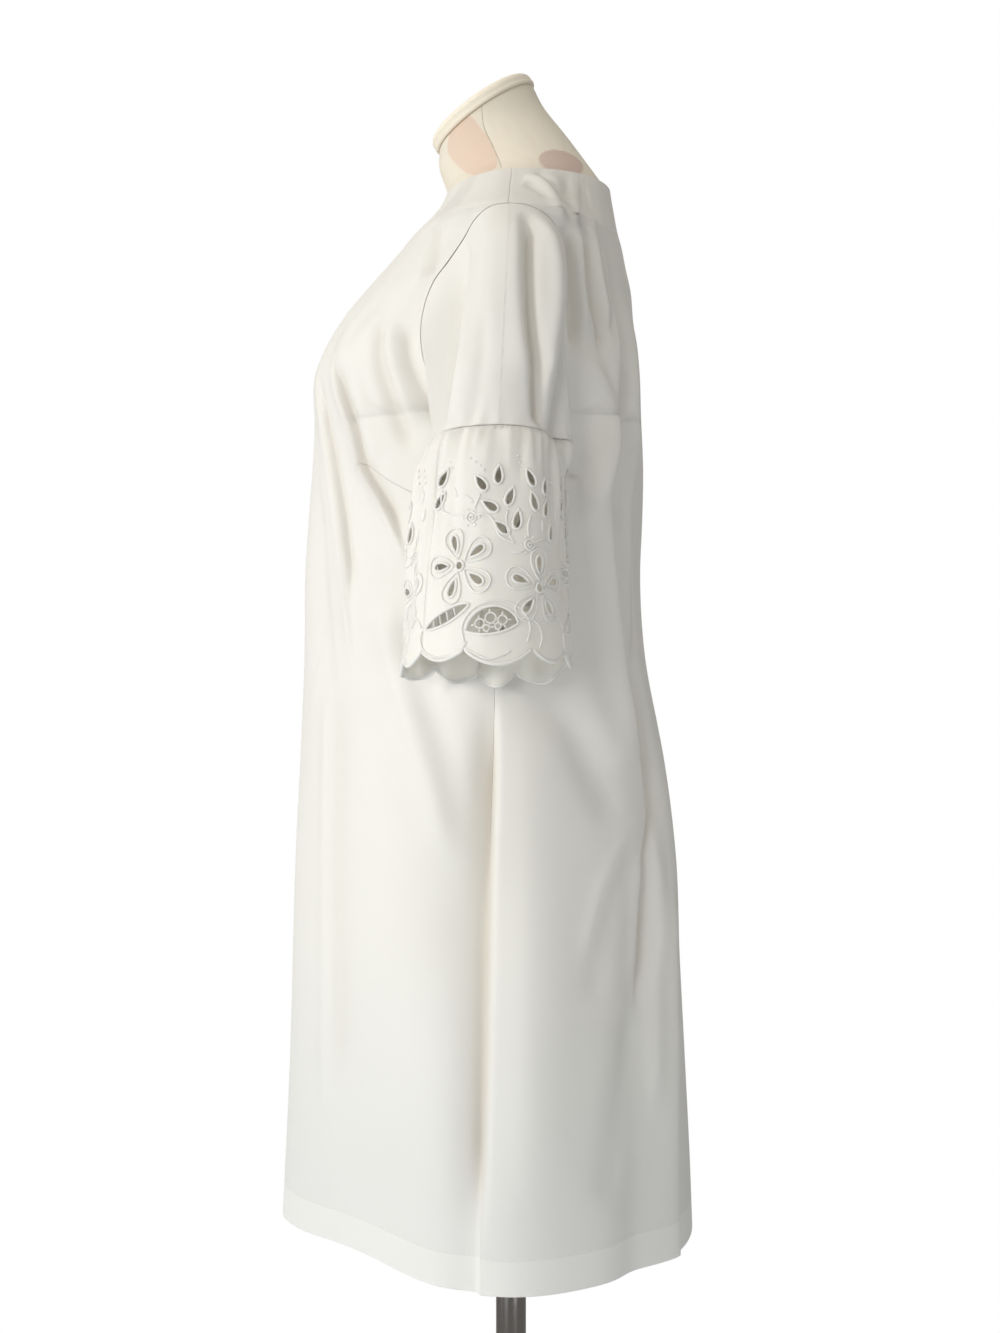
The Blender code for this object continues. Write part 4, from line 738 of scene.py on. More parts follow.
def body_relief(girth, z, side):
    """How far the folds and creases stand out of the plain body, and the share of painted shade in
    its narrow hollows, from 0 to 1. The other side's creases count as well, seen in a mirror, so
    that both halves agree at the centre line. Hollows are calmed by a bell of the distance from the
    shoulder's edge, and all creases beside the armhole."""
    points, normals = plain_body(girth, z), body_normal(girth, z)
    relief, crease_shade = np.zeros(girth.shape), np.zeros(girth.shape)
    for crease in creases_of(CREASES, (1, 1000)):
        mirror = np.array([1 if crease["side"] == side else -1, 1, 1])
        line = path_line(crease["path"], plain_body)
        open_end = crease["path"][-1, 1] < NEAR_HEM
        depth = crease_depth(points * mirror, normals * mirror, line, crease, open_end)
        relief += depth
        crease_shade += crease_shade_of(depth, crease)
    edge = EDGE_CALM * np.exp(-(((z - SHOULDER_EDGE_Z) / SHOULDER_EDGE_REACH) ** 2))
    relief = np.maximum(relief, 0) + np.minimum(relief, 0) * (1 - edge)
    hush = armhole_hush(girth, z)
    return fold_depth(girth, z, side) + relief * hush, np.clip(crease_shade * hush, 0, 1)


def crease_shade_of(depth, crease):
    """A crease's share of the painted shade in the hollows: none for ridges and for wide troughs."""
    narrow = min(crease["front"], crease["back"]) < WIDEST_SHADED_CREASE
    return np.maximum(-depth, 0) / FULL_SHADE_DEPTH * narrow


def armhole_hush(girth, z):
    """0 on the armhole's edge and 1 from 12 mm off it, so creases don't disturb its seam."""
    beside = ease((z - UNDERARM_Z + HUSH_WIDTH) / HUSH_FADE)
    beside = beside * ease((SHOULDER_TIP_Z + HUSH_WIDTH - z) / HUSH_FADE)
    level = np.clip(z, UNDERARM_Z, SHOULDER_TIP_Z)
    front, back = (girth_of(rib_column("arm_y", rib_at_level(level, ahead)), level)
                   for ahead in (True, False))
    off = np.where(girth < 0, front - girth, girth - back) * METRES_PER_DEGREE
    return 1 - beside * (1 - ease(off / HUSH_WIDTH))


def body_surface(girth, z, side, relief):
    """Points of the dress body, moved along the plain normal by the relief. The front of the hem
    is lifted by a bell of the depth's distance from its highest place."""
    points = plain_body(girth, z) + body_normal(girth, z) * relief[..., None]
    lift = HEM_LIFT * np.exp(-(((points[..., 1] - HEM_LIFT_Y) / HEM_LIFT_REACH) ** 2))
    points[..., 2] += lift * ease((HEM_LIFT_TOP - points[..., 2]) / HEM_LIFT_HEIGHT)
    points[..., 0] *= 1 if side == "left" else -1
    return points


def rib_column(name, at):
    """One measure of the sleeve's ribs at places round it, counted in ribs."""
    return closed_through(column(SLEEVE_RIBS, SLEEVE_COLUMNS, name), at)


def rib_at_level(z, front):
    """Where round the sleeve, in ribs, the armhole passes the level z."""
    at = np.linspace(RIB_UNDERARM, 0 if front else RIBS, LEVEL_SAMPLES)
    return np.interp(z, rib_column("arm_z", at), at)


def panel_rows(front):
    """Edge girth and z of every row of a panel, hem to neckline. The rows beside the armhole
    stand at even shares of its length."""
    skirt_z = np.concatenate([HEM_Z + np.array(HEM_EDGE_ROWS),
                              np.linspace(HEM_Z + PAST_HEM_EDGE, BUST_ROWS_Z, SKIRT_ROWS + 1)[:-1],
                              np.linspace(BUST_ROWS_Z, UNDERARM_Z, BUST_ROWS + 1)[:-1]])
    at = np.linspace(RIB_UNDERARM, 0 if front else RIBS, LINE_SAMPLES)
    curve_y, curve_z = rib_column("arm_y", at), rib_column("arm_z", at)
    run = np.concatenate([[0], np.cumsum(np.hypot(np.diff(curve_y), np.diff(curve_z)))])
    even = np.linspace(0, run[-1], ARMHOLE_ROWS + 1)
    arm_y, arm_z = np.interp(even, run, curve_y), np.interp(even, run, curve_z)
    arm_z = np.maximum.accumulate(np.clip(arm_z, UNDERARM_Z, SHOULDER_TIP_Z - TIP_CLEARANCE))
    arm_z[-1] = SHOULDER_TIP_Z
    shoulder_z = np.linspace(SHOULDER_TIP_Z, NECKLINE_Z, SHOULDER_ROWS + 1)[1:]
    shoulder_z = np.insert(shoulder_z, -1, NECKLINE_Z - np.array(NECK_EDGE_ROWS))
    arm_girth = girth_of(arm_y, arm_z)
    arm_girth[[0, -1]] = 0
    z = np.concatenate([skirt_z, arm_z, shoulder_z])
    edge = np.concatenate([np.zeros(len(skirt_z)), arm_girth, np.zeros(len(shoulder_z))])
    return edge, z


def crowded_shares(edge, centre, z, side, count):
    """Shares across each row at which its columns stand. Their density is one, plus a bell of
    the girth's distance from each sharp crease, and they divide its running sum evenly."""
    dense = np.linspace(0, 1, ROW_SAMPLES)
    girth = edge[:, None] + (centre - edge[:, None]) * dense
    density = np.ones(girth.shape)
    for crease in creases_of(CREASES, (1, 1000)):
        path = crease["path"][::-1]
        if crease["side"] != side or min(crease["front"], crease["back"]) > SHARP:
            continue
        line = np.interp(z, path[:, 1], path[:, 0])
        reach = ease((z - path[0, 1]) / CROWD_FADE + 1) * ease((path[-1, 1] - z) / CROWD_FADE + 1)
        density += CROWDING * reach[:, None] * np.exp(-(((girth - line[:, None]) / CROWD_WIDTH) ** 2))
    run = np.cumsum(density, axis=1)
    run = (run - run[:, :1]) / (run[:, -1:] - run[:, :1])
    return np.stack([np.interp(np.linspace(0, 1, count), row, dense) for row in run])


def edge_roll(distance):
    """How deep a turned edge lies at a distance from its end: a quarter of a circle."""
    left = np.clip(EDGE_ROLL - distance, 0, EDGE_ROLL)
    return EDGE_ROLL - np.sqrt(EDGE_ROLL**2 - left**2)


def inner_depth(roll):
    """How deep the cloth's inner side lies where its outer side is rolled in by roll."""
    return np.maximum(roll + EDGE_WALL, CLOTH)


def run_from(points, axis):
    """Distance of every grid point from the grid's first edge along an axis."""
    step = np.linalg.norm(np.diff(points, axis=axis), axis=-1)
    zero = np.zeros_like(np.take(step, [0], axis=axis))
    return np.concatenate([zero, np.cumsum(step, axis=axis)], axis=axis)


def half_panel(side, front):
    """Outer and inner points of half a front or a whole back, edge to centre, and its marks:
    distance from the centre, distance up from the hem, and the painted shade of its hollows."""
    edge, z = panel_rows(front)
    centre = -90 if front else 90
    share = crowded_shares(edge, centre, z, side, FRONT_COLUMNS if front else BACK_COLUMNS)
    turned_in = np.broadcast_to(EDGE_SHARES, (len(z), len(EDGE_SHARES)))
    last = 1 if front else 1 - PAST_EDGE_SHARES
    share = np.concatenate([turned_in, PAST_EDGE_SHARES + (last - PAST_EDGE_SHARES) * share], axis=1)
    if not front:
        share = np.concatenate([share, 1 - turned_in[:, ::-1]], axis=1)
    girth = edge[:, None] + (centre - edge[:, None]) * share
    z = np.broadcast_to(z[:, None], girth.shape)
    relief, crease_shade = body_relief(girth, z, side)
    points = body_surface(girth, z, side, relief)
    from_edge = run_from(points, 1)
    from_centre = from_edge[:, -1:] - from_edge
    from_hem = run_from(points, 0)
    from_neck = from_hem[-1:] - from_hem
    gap = SEAM_GAP / 2
    roll = edge_roll(from_edge) + edge_roll(from_hem) + edge_roll(from_neck)
    if not front:
        roll = roll + edge_roll(from_centre)
    layers = []
    for inset in (roll, inner_depth(roll)):
        layer = body_surface(girth, z, side, relief - inset)
        layer[:, 0] += unit(layer[:, 1] - layer[:, 0]) * gap
        if not front:
            layer[:, -1] += unit(layer[:, -2] - layer[:, -1]) * gap
        layers.append(layer)
    return layers, stacked(from_centre, from_hem, crease_shade), girth, z


# ---- form of sleeve and flounce
def sleeve_start(at, depth):
    """The sleeve's edge in the armhole, drawn in from the panels' edges by depth."""
    y, z = rib_column("arm_y", at), rib_column("arm_z", at)
    middle = [rib_column(name, np.arange(RIBS)).mean() for name in ("arm_y", "arm_z")]
    away = unit(stacked(y - middle[0], z - middle[1]))
    y, z = y - away[..., 0] * depth, z - away[..., 1] * depth
    x, y = section_point(girth_of(y, z), z)
    return stacked(x, y, z)


def seam_ring(at, depth=0):
    """The ring where the flounce is sewn to the sleeve, drawn in level by depth."""
    step = 0.05
    ring = np.stack([rib_column(name, at) for name in ("seam_x", "seam_y", "seam_z")], axis=-1)
    along = unit(np.stack([rib_column(name, at + step) - rib_column(name, at - step)
                           for name in ("seam_x", "seam_y")], axis=-1))
    ring[..., 0] += depth * along[..., 1]
    ring[..., 1] -= depth * along[..., 0]
    return ring


def plain_sleeve(at, along, depth=0):
    """Bezier ribs: out of the armhole, over, and down onto the flounce seam."""
    start = sleeve_start(at, 1.5 * SEAM_GAP + depth)
    end = seam_ring(at, depth)
    end[..., 2] += SEAM_GAP / 2
    drop = (start[..., 2] - end[..., 2])[..., None]
    leave = start + np.array([RIB_OUT, 0, -RIB_DOWN]) * drop
    arrive = end + np.array([0, 0, RIB_UP]) * drop
    arrive[..., :2] += RIB_LEAN * (leave - end)[..., :2] * np.array([RIB_LEAN_ACROSS, 1])
    tuck = RIB_TUCK * rib_column("tuck", at)
    leave[..., 1] += tuck
    arrive[..., 1] += tuck
    t = along[..., None]
    return (start * (1 - t) ** 3 + 3 * leave * t * (1 - t) ** 2
            + 3 * arrive * t**2 * (1 - t) + end * t**3)


def sleeve_normal(at, along):
    """Outward normal of the plain sleeve, from differences round it and along it."""
    step_down, step_round = 0.01, 0.03
    low, high = np.clip(along - step_down, 0, 1), np.clip(along + step_down, 0, 1)
    down = plain_sleeve(at, high) - plain_sleeve(at, low)
    around = plain_sleeve(at + step_round, along) - plain_sleeve(at - step_round, along)
    return unit(np.cross(around, down))


def even_along(points, share):
    """Points at even shares of the length of a dense line."""
    length = run_from(points, 0)
    return np.stack([np.interp(share * length[-1], length, points[:, k]) for k in range(3)], axis=-1)


def flounce_lines():
    """The flounce's seam and hem as dense lines, each in an outer and an inner run. The inner
    hem is a straight line that a half sine drops and level waves fill out."""
    dense = np.linspace(0, 1, FLOUNCE_SAMPLES)
    outer_seam = seam_ring(RIB_FRONT_TURN - dense * (RIB_FRONT_TURN + RIBS - RIB_BACK_TURN))
    inner_seam = seam_ring(RIB_BACK_TURN + dense * (RIB_FRONT_TURN - RIB_BACK_TURN))
    outer_hem = curve_through(FLOUNCE_HEM, dense * (len(FLOUNCE_HEM) - 1))
    first, last = np.array(FLOUNCE_HEM[-1]), np.array(FLOUNCE_HEM[0])
    inner_hem = first + (last - first) * dense[:, None]
    swell = np.sin(math.pi * dense)
    waves = INNER_WAVE_DEPTH * np.cos(2 * math.pi * (INNER_WAVES * dense - INNER_WAVE_PHASE))
    inner_hem[:, 0] += (INNER_HEM_X - last[0] + waves) * ease(swell / INNER_EDGE)
    inner_hem[:, 2] -= INNER_HEM_DROP * swell
    return outer_seam, inner_seam, outer_hem, inner_hem


FLOUNCE_LINES = flounce_lines()


def draped_flounce(across, down):
    """Flat flounce to draped flounce: from the seam to the hem along a line that flares fast
    just under the gathers and evenly below them."""
    outer_seam, inner_seam, outer_hem, inner_hem = FLOUNCE_LINES
    share = np.mod(across / FLOUNCE_WIDTH, 1)
    on_outer = (share < OUTER_SHARE)[..., None]
    outer = np.clip(share / OUTER_SHARE, 0, 1)
    inner = np.clip((share - OUTER_SHARE) / (1 - OUTER_SHARE), 0, 1)
    seam = np.where(on_outer, even_along(outer_seam, outer), even_along(inner_seam, inner))
    hem = np.where(on_outer, even_along(outer_hem, outer), even_along(inner_hem, inner))
    fall = np.clip(down / FLOUNCE_LENGTH, 0, 1.1)[..., None]
    flare = FLARE_AT_SEAM * (1 - np.exp(-fall / FLARE_FALL)) + (1 - FLARE_AT_SEAM) * fall
    points = seam + (hem - seam) * flare
    points[..., 2] = (seam + (hem - seam) * fall)[..., 2] - SEAM_GAP
    return points


def flounce_folds(across, down):
    """Sum of the flounce's soft folds: bells across lines that run down the cloth, each fading
    over the last part of its line. Those from the seam start on it, the others ease in."""
    relief = np.zeros(across.shape)
    for across_top, top, across_low, low, width, depth in np.array(FLOUNCE_FOLDS) / 1000:
        share = (down - top) / (low - top)
        line = across_top + (across_low - across_top) * share
        off = np.mod(across - line + FLOUNCE_WIDTH / 2, FLOUNCE_WIDTH) - FLOUNCE_WIDTH / 2
        on_seam = top <= SEAM_FOLD_TOP
        start = ease(down / SEAM_FOLD_START) if on_seam else ease(share / FLOUNCE_FOLD_START)
        finish = ease((1 - share) / FLOUNCE_FOLD_END)
        relief += depth * np.exp(-((off / width) ** 2)) * start * finish * (share > 0)
    return relief


def flounce_surface(across, down, depth=0):
    """The outer side of the draped flounce, moved in by depth. The gathers are a sine's power,
    with a phase and a height that sway round the arm, and they fade down the cloth. A puff, slow
    waves and the soft folds come on top."""
    step = 0.0008
    points = draped_flounce(across, down)
    along = unit((draped_flounce(across + step, down) - draped_flounce(across - step, down))[..., :2])
    turn = 2 * math.pi * across / FLOUNCE_WIDTH
    sway = turn + 0.1 * np.sin(3 * turn + 0.5) + 0.05 * np.sin(8 * turn)
    uneven = 0.75 + 0.45 * np.sin(5 * turn + 1)
    gather = np.abs(np.sin(GATHERS / 2 * sway)) ** GATHER_ROUNDNESS * uneven - GATHER_MIDDLE
    fall = GATHER_FALL * (1 + 0.5 * np.sin(4 * turn + 2))
    gather = GATHER_DEPTH * gather * np.exp(-down / fall) * ease(down / GATHER_START)
    puff = PUFF_DEPTH * ease(down / PUFF_START) * np.exp(-((down / PUFF_FALL) ** 2))
    wave = LONG_WAVE_DEPTH * np.sin(LONG_WAVES * turn + 0.8 * np.sin(4 * turn))
    wave = wave * ease(down / LONG_WAVE_START) * np.exp(-((down / LONG_WAVE_FALL) ** 2))
    out = FLOUNCE_OUT - depth + gather + puff + wave + flounce_folds(across, down)
    points[..., 0] += out * along[..., 1]
    points[..., 1] -= out * along[..., 0]
    return points


# ---- flat cutwork pattern
def turned(points, across, down, turn):
    """Place a motif drawn along +x: turned by degrees, its y up against the flounce's down."""
    turn = math.radians(turn)
    x = points[:, 0] * math.cos(turn) - points[:, 1] * math.sin(turn)
    y = points[:, 0] * math.sin(turn) + points[:, 1] * math.cos(turn)
    return stacked(across + x, down - y)


def teardrop(length, width, count):
    """A drop, pointed at +x and round at -x: an ellipse whose width shrinks towards +x."""
    t = even_turns(count)
    bulge = 1.15 * np.sin(t / 2) ** 0.8
    return stacked(length / 2 * np.cos(t), width / 2 * np.sin(t) * bulge)


def oval(length, width, count):
    """An ellipse."""
    t = even_turns(count)
    return stacked(length / 2 * np.cos(t), width / 2 * np.sin(t))


def crescent_sides(length, width, t):
    """Two arcs that both bow downwards, at t from -1 to 1: a parabola of half the width, and
    above it a power of one minus the square of t."""
    low = stacked(t * length / 2, 0.5 * width * (t**2 - 1))
    high = stacked(t * length / 2, 0.5 * width * (t**2 - 1) + width * (1 - t**2) ** 0.7)
    return low, high


def crescent(length, width, count):
    """A slot between the two arcs."""
    low, high = crescent_sides(length, width, np.linspace(-1, 1, count))
    return np.concatenate([low, high[::-1][1:-1]])


def shell_opening(length, width, count):
    """A leaf shape with a full arc above and a flat arc below."""
    t = np.linspace(-1, 1, count)
    low = stacked(t * length / 2, -0.25 * width * (1 - t**2))
    high = stacked(t * length / 2, 0.75 * width * (1 - t**2) ** 0.6)
    return np.concatenate([low, high[::-1][1:-1]])


def petal_loop(count):
    """A petal's outline along +x: a long drop that is narrow near the flower's eye."""
    near, far, half = PETAL_REACH
    t = even_turns(count)
    along = (1 - np.cos(t)) / 2
    bulge = half * np.sin(t) * (0.3 + 0.85 * along**0.8)
    return stacked(near + (far - near) * along, bulge)


def petal_places(across, down, turn):
    """The middle of each petal's eyelet, which stand in a ring, and the petal's angle."""
    for petal in range(PETALS):
        angle = turn + 360 * petal / PETALS
        x = across + PETAL_EYELET_OUT * math.cos(math.radians(angle))
        y = down - PETAL_EYELET_OUT * math.sin(math.radians(angle))
        yield x, y, angle


def signed_area(outline):
    """Area of a closed outline, positive where it runs anticlockwise."""
    x, y = outline[:, 0], outline[:, 1]
    return 0.5 * (x * np.roll(y, -1) - y * np.roll(x, -1)).sum()


def grown(outline, margin):
    """An outline moved out by a margin along its own normals."""
    along = unit(np.roll(outline, -1, axis=0) - np.roll(outline, 1, axis=0))
    out = stacked(along[:, 1], -along[:, 0]) * np.sign(signed_area(outline))
    return outline + out * margin


def repeat_openings(start):
    """Outlines of every opening in the repeat that begins at start."""
    openings = []
    for across, down, turn in FLOWERS:
        openings.append(turned(oval(*FLOWER_EYE, 14), start + across, down, turn))
        for x, y, angle in petal_places(across, down, turn):
            openings.append(turned(teardrop(*PETAL_EYELET, 20), start + x, y, angle + 180))
    for across, down, turn in LEAVES:
        openings.append(turned(teardrop(*LEAF_EYELET, 20), start + across, down, turn))
    across, down, turn = CRESCENT
    openings.append(turned(crescent(*CRESCENT_SIZE, 22), start + across, down, turn))
    across, down, turn = SHELL
    openings.append(turned(shell_opening(*SHELL_SIZE, 22), start + across, down, turn))
    return openings


def hem_down(across):
    """Depth of the scalloped hem, a row of unlike round lobes that meet in points."""
    across = np.mod(across - FLOUNCE_SPLIT + 1e-6, REPEAT)
    ends = np.array(SCALLOP_ENDS)
    lobe = np.clip(np.searchsorted(ends, across, side="right") - 1, 0, len(SCALLOP_DEPTHS) - 1)
    share = (across - ends[lobe]) / (ends[lobe + 1] - ends[lobe])
    bow = np.clip(np.sin(math.pi * share), 0, 1) ** 0.8
    return FLOUNCE_LENGTH - max(SCALLOP_DEPTHS) + np.array(SCALLOP_DEPTHS)[lobe] * bow


def cloth_outline(start, repeats):
    """Outline of part of a flounce: seam, back edge, scalloped hem and front edge."""
    width = repeats * REPEAT
    seam_x = np.linspace(0, width, round(width / SEAM_SPACING) + 1)
    seam = stacked(start + seam_x, np.zeros_like(seam_x))
    down = np.linspace(0, FLOUNCE_LENGTH - max(SCALLOP_DEPTHS), BACK_POINTS)[1:-1]
    back = stacked(np.full_like(down, start + width), down)
    lobes = [np.linspace(low, high, round((high - low) / HEM_SPACING), endpoint=False)
             for low, high in zip(SCALLOP_ENDS[:-1], SCALLOP_ENDS[1:])]
    across = np.concatenate([start + k * REPEAT + lobe for k in range(repeats) for lobe in lobes])
    across = np.append(across, start + width)[::-1]
    hem = stacked(across, hem_down(across))
    front = stacked(np.full_like(down, start), down[::-1])
    return np.concatenate([seam, back, hem, front])


def inside(points, outline):
    """Whether each point lies inside a closed outline, by counting crossings."""
    x, y = points[:, None, 0], points[:, None, 1]
    x1, y1 = outline[None, :, 0], outline[None, :, 1]
    x2, y2 = np.roll(outline[:, 0], -1)[None], np.roll(outline[:, 1], -1)[None]
    rise = np.where(y2 == y1, 1e-12, y2 - y1)
    crossed = ((y1 > y) != (y2 > y)) & (x < (x2 - x1) * (y - y1) / rise + x1)
    return crossed.sum(axis=1) % 2 == 1


def fill_points(outline, openings):
    """Staggered points over the cloth, kept clear of its outline and of the openings."""
    xs = np.arange(outline[:, 0].min(), outline[:, 0].max(), FILL_SPACING)
    ys = np.arange(FIRST_FILL_ROW, outline[:, 1].max(), FILL_SPACING * FILL_ROW_SPACING)
    grid_x, grid_y = np.meshgrid(xs, ys)
    grid_x = grid_x + (np.arange(len(ys)) % 2)[:, None] * FILL_SPACING / 2
    points = stacked(grid_x.ravel(), grid_y.ravel())
    points = points[inside(points, outline)]
    for ring in [outline, *openings]:
        low, high = ring.min(axis=0) - FILL_LOOK, ring.max(axis=0) + FILL_LOOK
        close = ((points > low) & (points < high)).all(axis=1)
        distance = np.linalg.norm(points[close][:, None] - ring[None], axis=-1).min(axis=1)
        near = distance < FILL_CLEARANCE
        if ring is not outline:
            near |= inside(points[close], ring)
        keep = np.ones(len(points), bool)
        keep[np.flatnonzero(close)[near]] = False
        points = points[keep]
    return points


def cut_cloth(start, repeats):
    """Triangles of part of a flounce, lying flat, less its openings."""
    outline = cloth_outline(start, repeats)
    openings = []
    for k in range(repeats):
        openings += repeat_openings(start + k * REPEAT)
    loops = [outline, *openings]
    points = np.concatenate([*loops, fill_points(outline, openings)])
    edges, first = [], 0
    for loop in loops:
        edges += [(first + k, first + (k + 1) % len(loop)) for k in range(len(loop))]
        first += len(loop)
    points = [Vector(point) for point in points]
    verts, _, faces, *_ = delaunay_2d_cdt(points, edges, [], 0, 1e-7, False)
    verts, faces = np.array([tuple(v) for v in verts]), np.array(faces)
    middles = verts[faces].mean(axis=1)
    cloth = inside(middles, outline)
    for opening in openings:
        low, high = opening.min(axis=0), opening.max(axis=0)
        close = np.flatnonzero(((middles > low) & (middles < high)).all(axis=1))
        cloth[close] &= ~inside(middles[close], opening)
    return verts, faces[cloth]


# ---- meshes from arrays
def new_piece(name, points, faces, material, uv=None, marks=None):
    """A smooth mesh object from points and a list of face arrays, one for each face size.
    uv is two values for each point, in metres of cloth; marks are more named values."""
    mesh = bpy.data.meshes.new(name)
    loops = np.concatenate([block.ravel() for block in faces]).astype(np.int32)
    sizes = np.concatenate([np.full(len(block), block.shape[1]) for block in faces])
    starts = np.concatenate([[0], np.cumsum(sizes)[:-1]]).astype(np.int32)
    mesh.vertices.add(len(points))
    mesh.vertices.foreach_set("co", np.ascontiguousarray(points, np.float32).ravel())
    mesh.loops.add(len(loops))
    mesh.loops.foreach_set("vertex_index", loops)
    mesh.polygons.add(len(starts))
    mesh.polygons.foreach_set("loop_start", starts)
    mesh.update(calc_edges=True)
    mesh.shade_smooth()
    if uv is not None:
        layer = mesh.uv_layers.new(name="cloth")
        layer.data.foreach_set("uv", np.ascontiguousarray(uv[loops], np.float32).ravel())
    for key, values in (marks or {}).items():
        attribute = mesh.attributes.new(key, "FLOAT", "POINT")
        attribute.data.foreach_set("value", np.ascontiguousarray(values, np.float32).ravel())
    mesh.materials.append(material)
    piece = bpy.data.objects.new(name, mesh)
    bpy.context.scene.collection.objects.link(piece)
    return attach(piece, "root")


def grid_quads(rows, columns, closed=False):
    """Quads of a grid whose rows go up and whose columns go anticlockwise from above."""
    r, c = np.meshgrid(np.arange(rows - 1), np.arange(columns if closed else columns - 1), indexing="ij")
    d = (c + 1) % columns
    quads = stacked(r * columns + c, r * columns + d, (r + 1) * columns + d, (r + 1) * columns + c)
    return quads.reshape(-1, 4)


def shell(layers, faces):
    """Close an outer and an inner layer of like points into one shell, with a rim along every
    edge that only one face has."""
    count = len(layers[0])
    sides = stacked(faces, np.roll(faces, -1, axis=1)).reshape(-1, 2)
    forward = sides[:, 0] * count + sides[:, 1]
    backward = sides[:, 1] * count + sides[:, 0]
    open_sides = sides[~np.isin(backward, forward)]
    a, b = open_sides[:, 0], open_sides[:, 1]
    rim = stacked(b, a, a + count, b + count)
    return np.concatenate(layers), [faces, faces[:, ::-1] + count, rim]


def mirrored(points, side):
    """Points of the left side, or their mirror image for the right."""
    return points * np.array([1 if side == "left" else -1, 1, 1])


def lathe(profile, steps):
    """A profile of (radius, z) points from the top centre down, turned about Z and closed."""
    profile = np.array(profile)
    turn = even_turns(steps)
    ring = stacked(np.cos(turn), np.sin(turn))
    body = profile[1:-1]
    points = np.concatenate([(body[:, :1, None] * ring[None]).reshape(-1, 2), np.zeros((2, 2))])
    z = np.concatenate([np.repeat(body[:, 1], steps), [profile[0, 1], profile[-1, 1]]])
    quads = grid_quads(len(body), steps, closed=True)[:, ::-1]
    k = np.arange(steps)
    top = stacked(k, (k + 1) % steps, np.full(steps, len(body) * steps))
    low = (len(body) - 1) * steps
    bottom = stacked(low + (k + 1) % steps, low + k, np.full(steps, len(body) * steps + 1))
    return np.column_stack([points, z]), [quads, np.concatenate([top, bottom])]


# ---- materials
def start_material(name):
    material = bpy.data.materials.new(name)
    material.use_nodes = True
    tree = material.node_tree
    return material, tree, tree.nodes["Principled BSDF"]


def set_inputs(tree, node, inputs):
    """Link each input of a node to another's output, or give it its value."""
    for key, value in inputs.items():
        socket = node.inputs[key]
        if isinstance(value, bpy.types.NodeSocket):
            tree.links.new(value, socket)
        else:
            socket.default_value = value


def add_node(tree, kind, inputs=None, **settings):
    node = tree.nodes.new(kind)
    for key, value in settings.items():
        setattr(node, key, value)
    set_inputs(tree, node, inputs or {})
    return node


def noise(tree, place, scale, detail):
    inputs = {"Vector": place, "Scale": scale, "Detail": detail}
    return add_node(tree, "ShaderNodeTexNoise", inputs).outputs[0]


def mark_value(tree, mark):
    return add_node(tree, "ShaderNodeAttribute", attribute_name=mark).outputs["Fac"]


def math_node(tree, operation, first, second=0, third=None):
    inputs = {0: first, 1: second}
    if third is not None:
        inputs[2] = third
    return add_node(tree, "ShaderNodeMath", inputs, operation=operation).outputs[0]


def colour_mix(tree, share, first, second):
    """A share of the second colour in the first."""
    node = add_node(tree, "ShaderNodeMix", data_type="RGBA")
    set_inputs(tree, node, {0: share, 6: first, 7: second})
    return node.outputs[2]


def cloth_threads(tree, across_pitch, along_pitch, wobble):
    """Height of a woven cloth: two crossing sets of ridges in the cloth's own metres, with the
    threads' uneven thickness from noise."""
    place = add_node(tree, "ShaderNodeUVMap", uv_map="cloth").outputs[0]
    parts = add_node(tree, "ShaderNodeSeparateXYZ", {0: place})
    uneven = noise(tree, place, 900, 2)
    ridges = []
    for part, pitch in ((parts.outputs[0], across_pitch), (parts.outputs[1], along_pitch)):
        turn = math_node(tree, "MULTIPLY", part, 2 * math.pi / pitch)
        turn = math_node(tree, "MULTIPLY_ADD", uneven, wobble, turn)
        ridges.append(math_node(tree, "SINE", turn))
    woven = math_node(tree, "MULTIPLY", ridges[0], ridges[1])
    return math_node(tree, "MULTIPLY_ADD", uneven, 1.2, woven), place


def bump_map(tree, height, distance):
    """Small relief, distance metres deep for a height of one."""
    inputs = {"Height": height, "Distance": distance, "Strength": 1}
    return add_node(tree, "ShaderNodeBump", inputs).outputs[0]


def line_mask(tree, mark, half_width):
    """1 on the line where a mark is zero, falling to 0 at half_width on either hand."""
    off = math_node(tree, "ABSOLUTE", mark_value(tree, mark))
    off = math_node(tree, "MINIMUM", math_node(tree, "DIVIDE", off, half_width), 1)
    return math_node(tree, "SUBTRACT", 1, off)


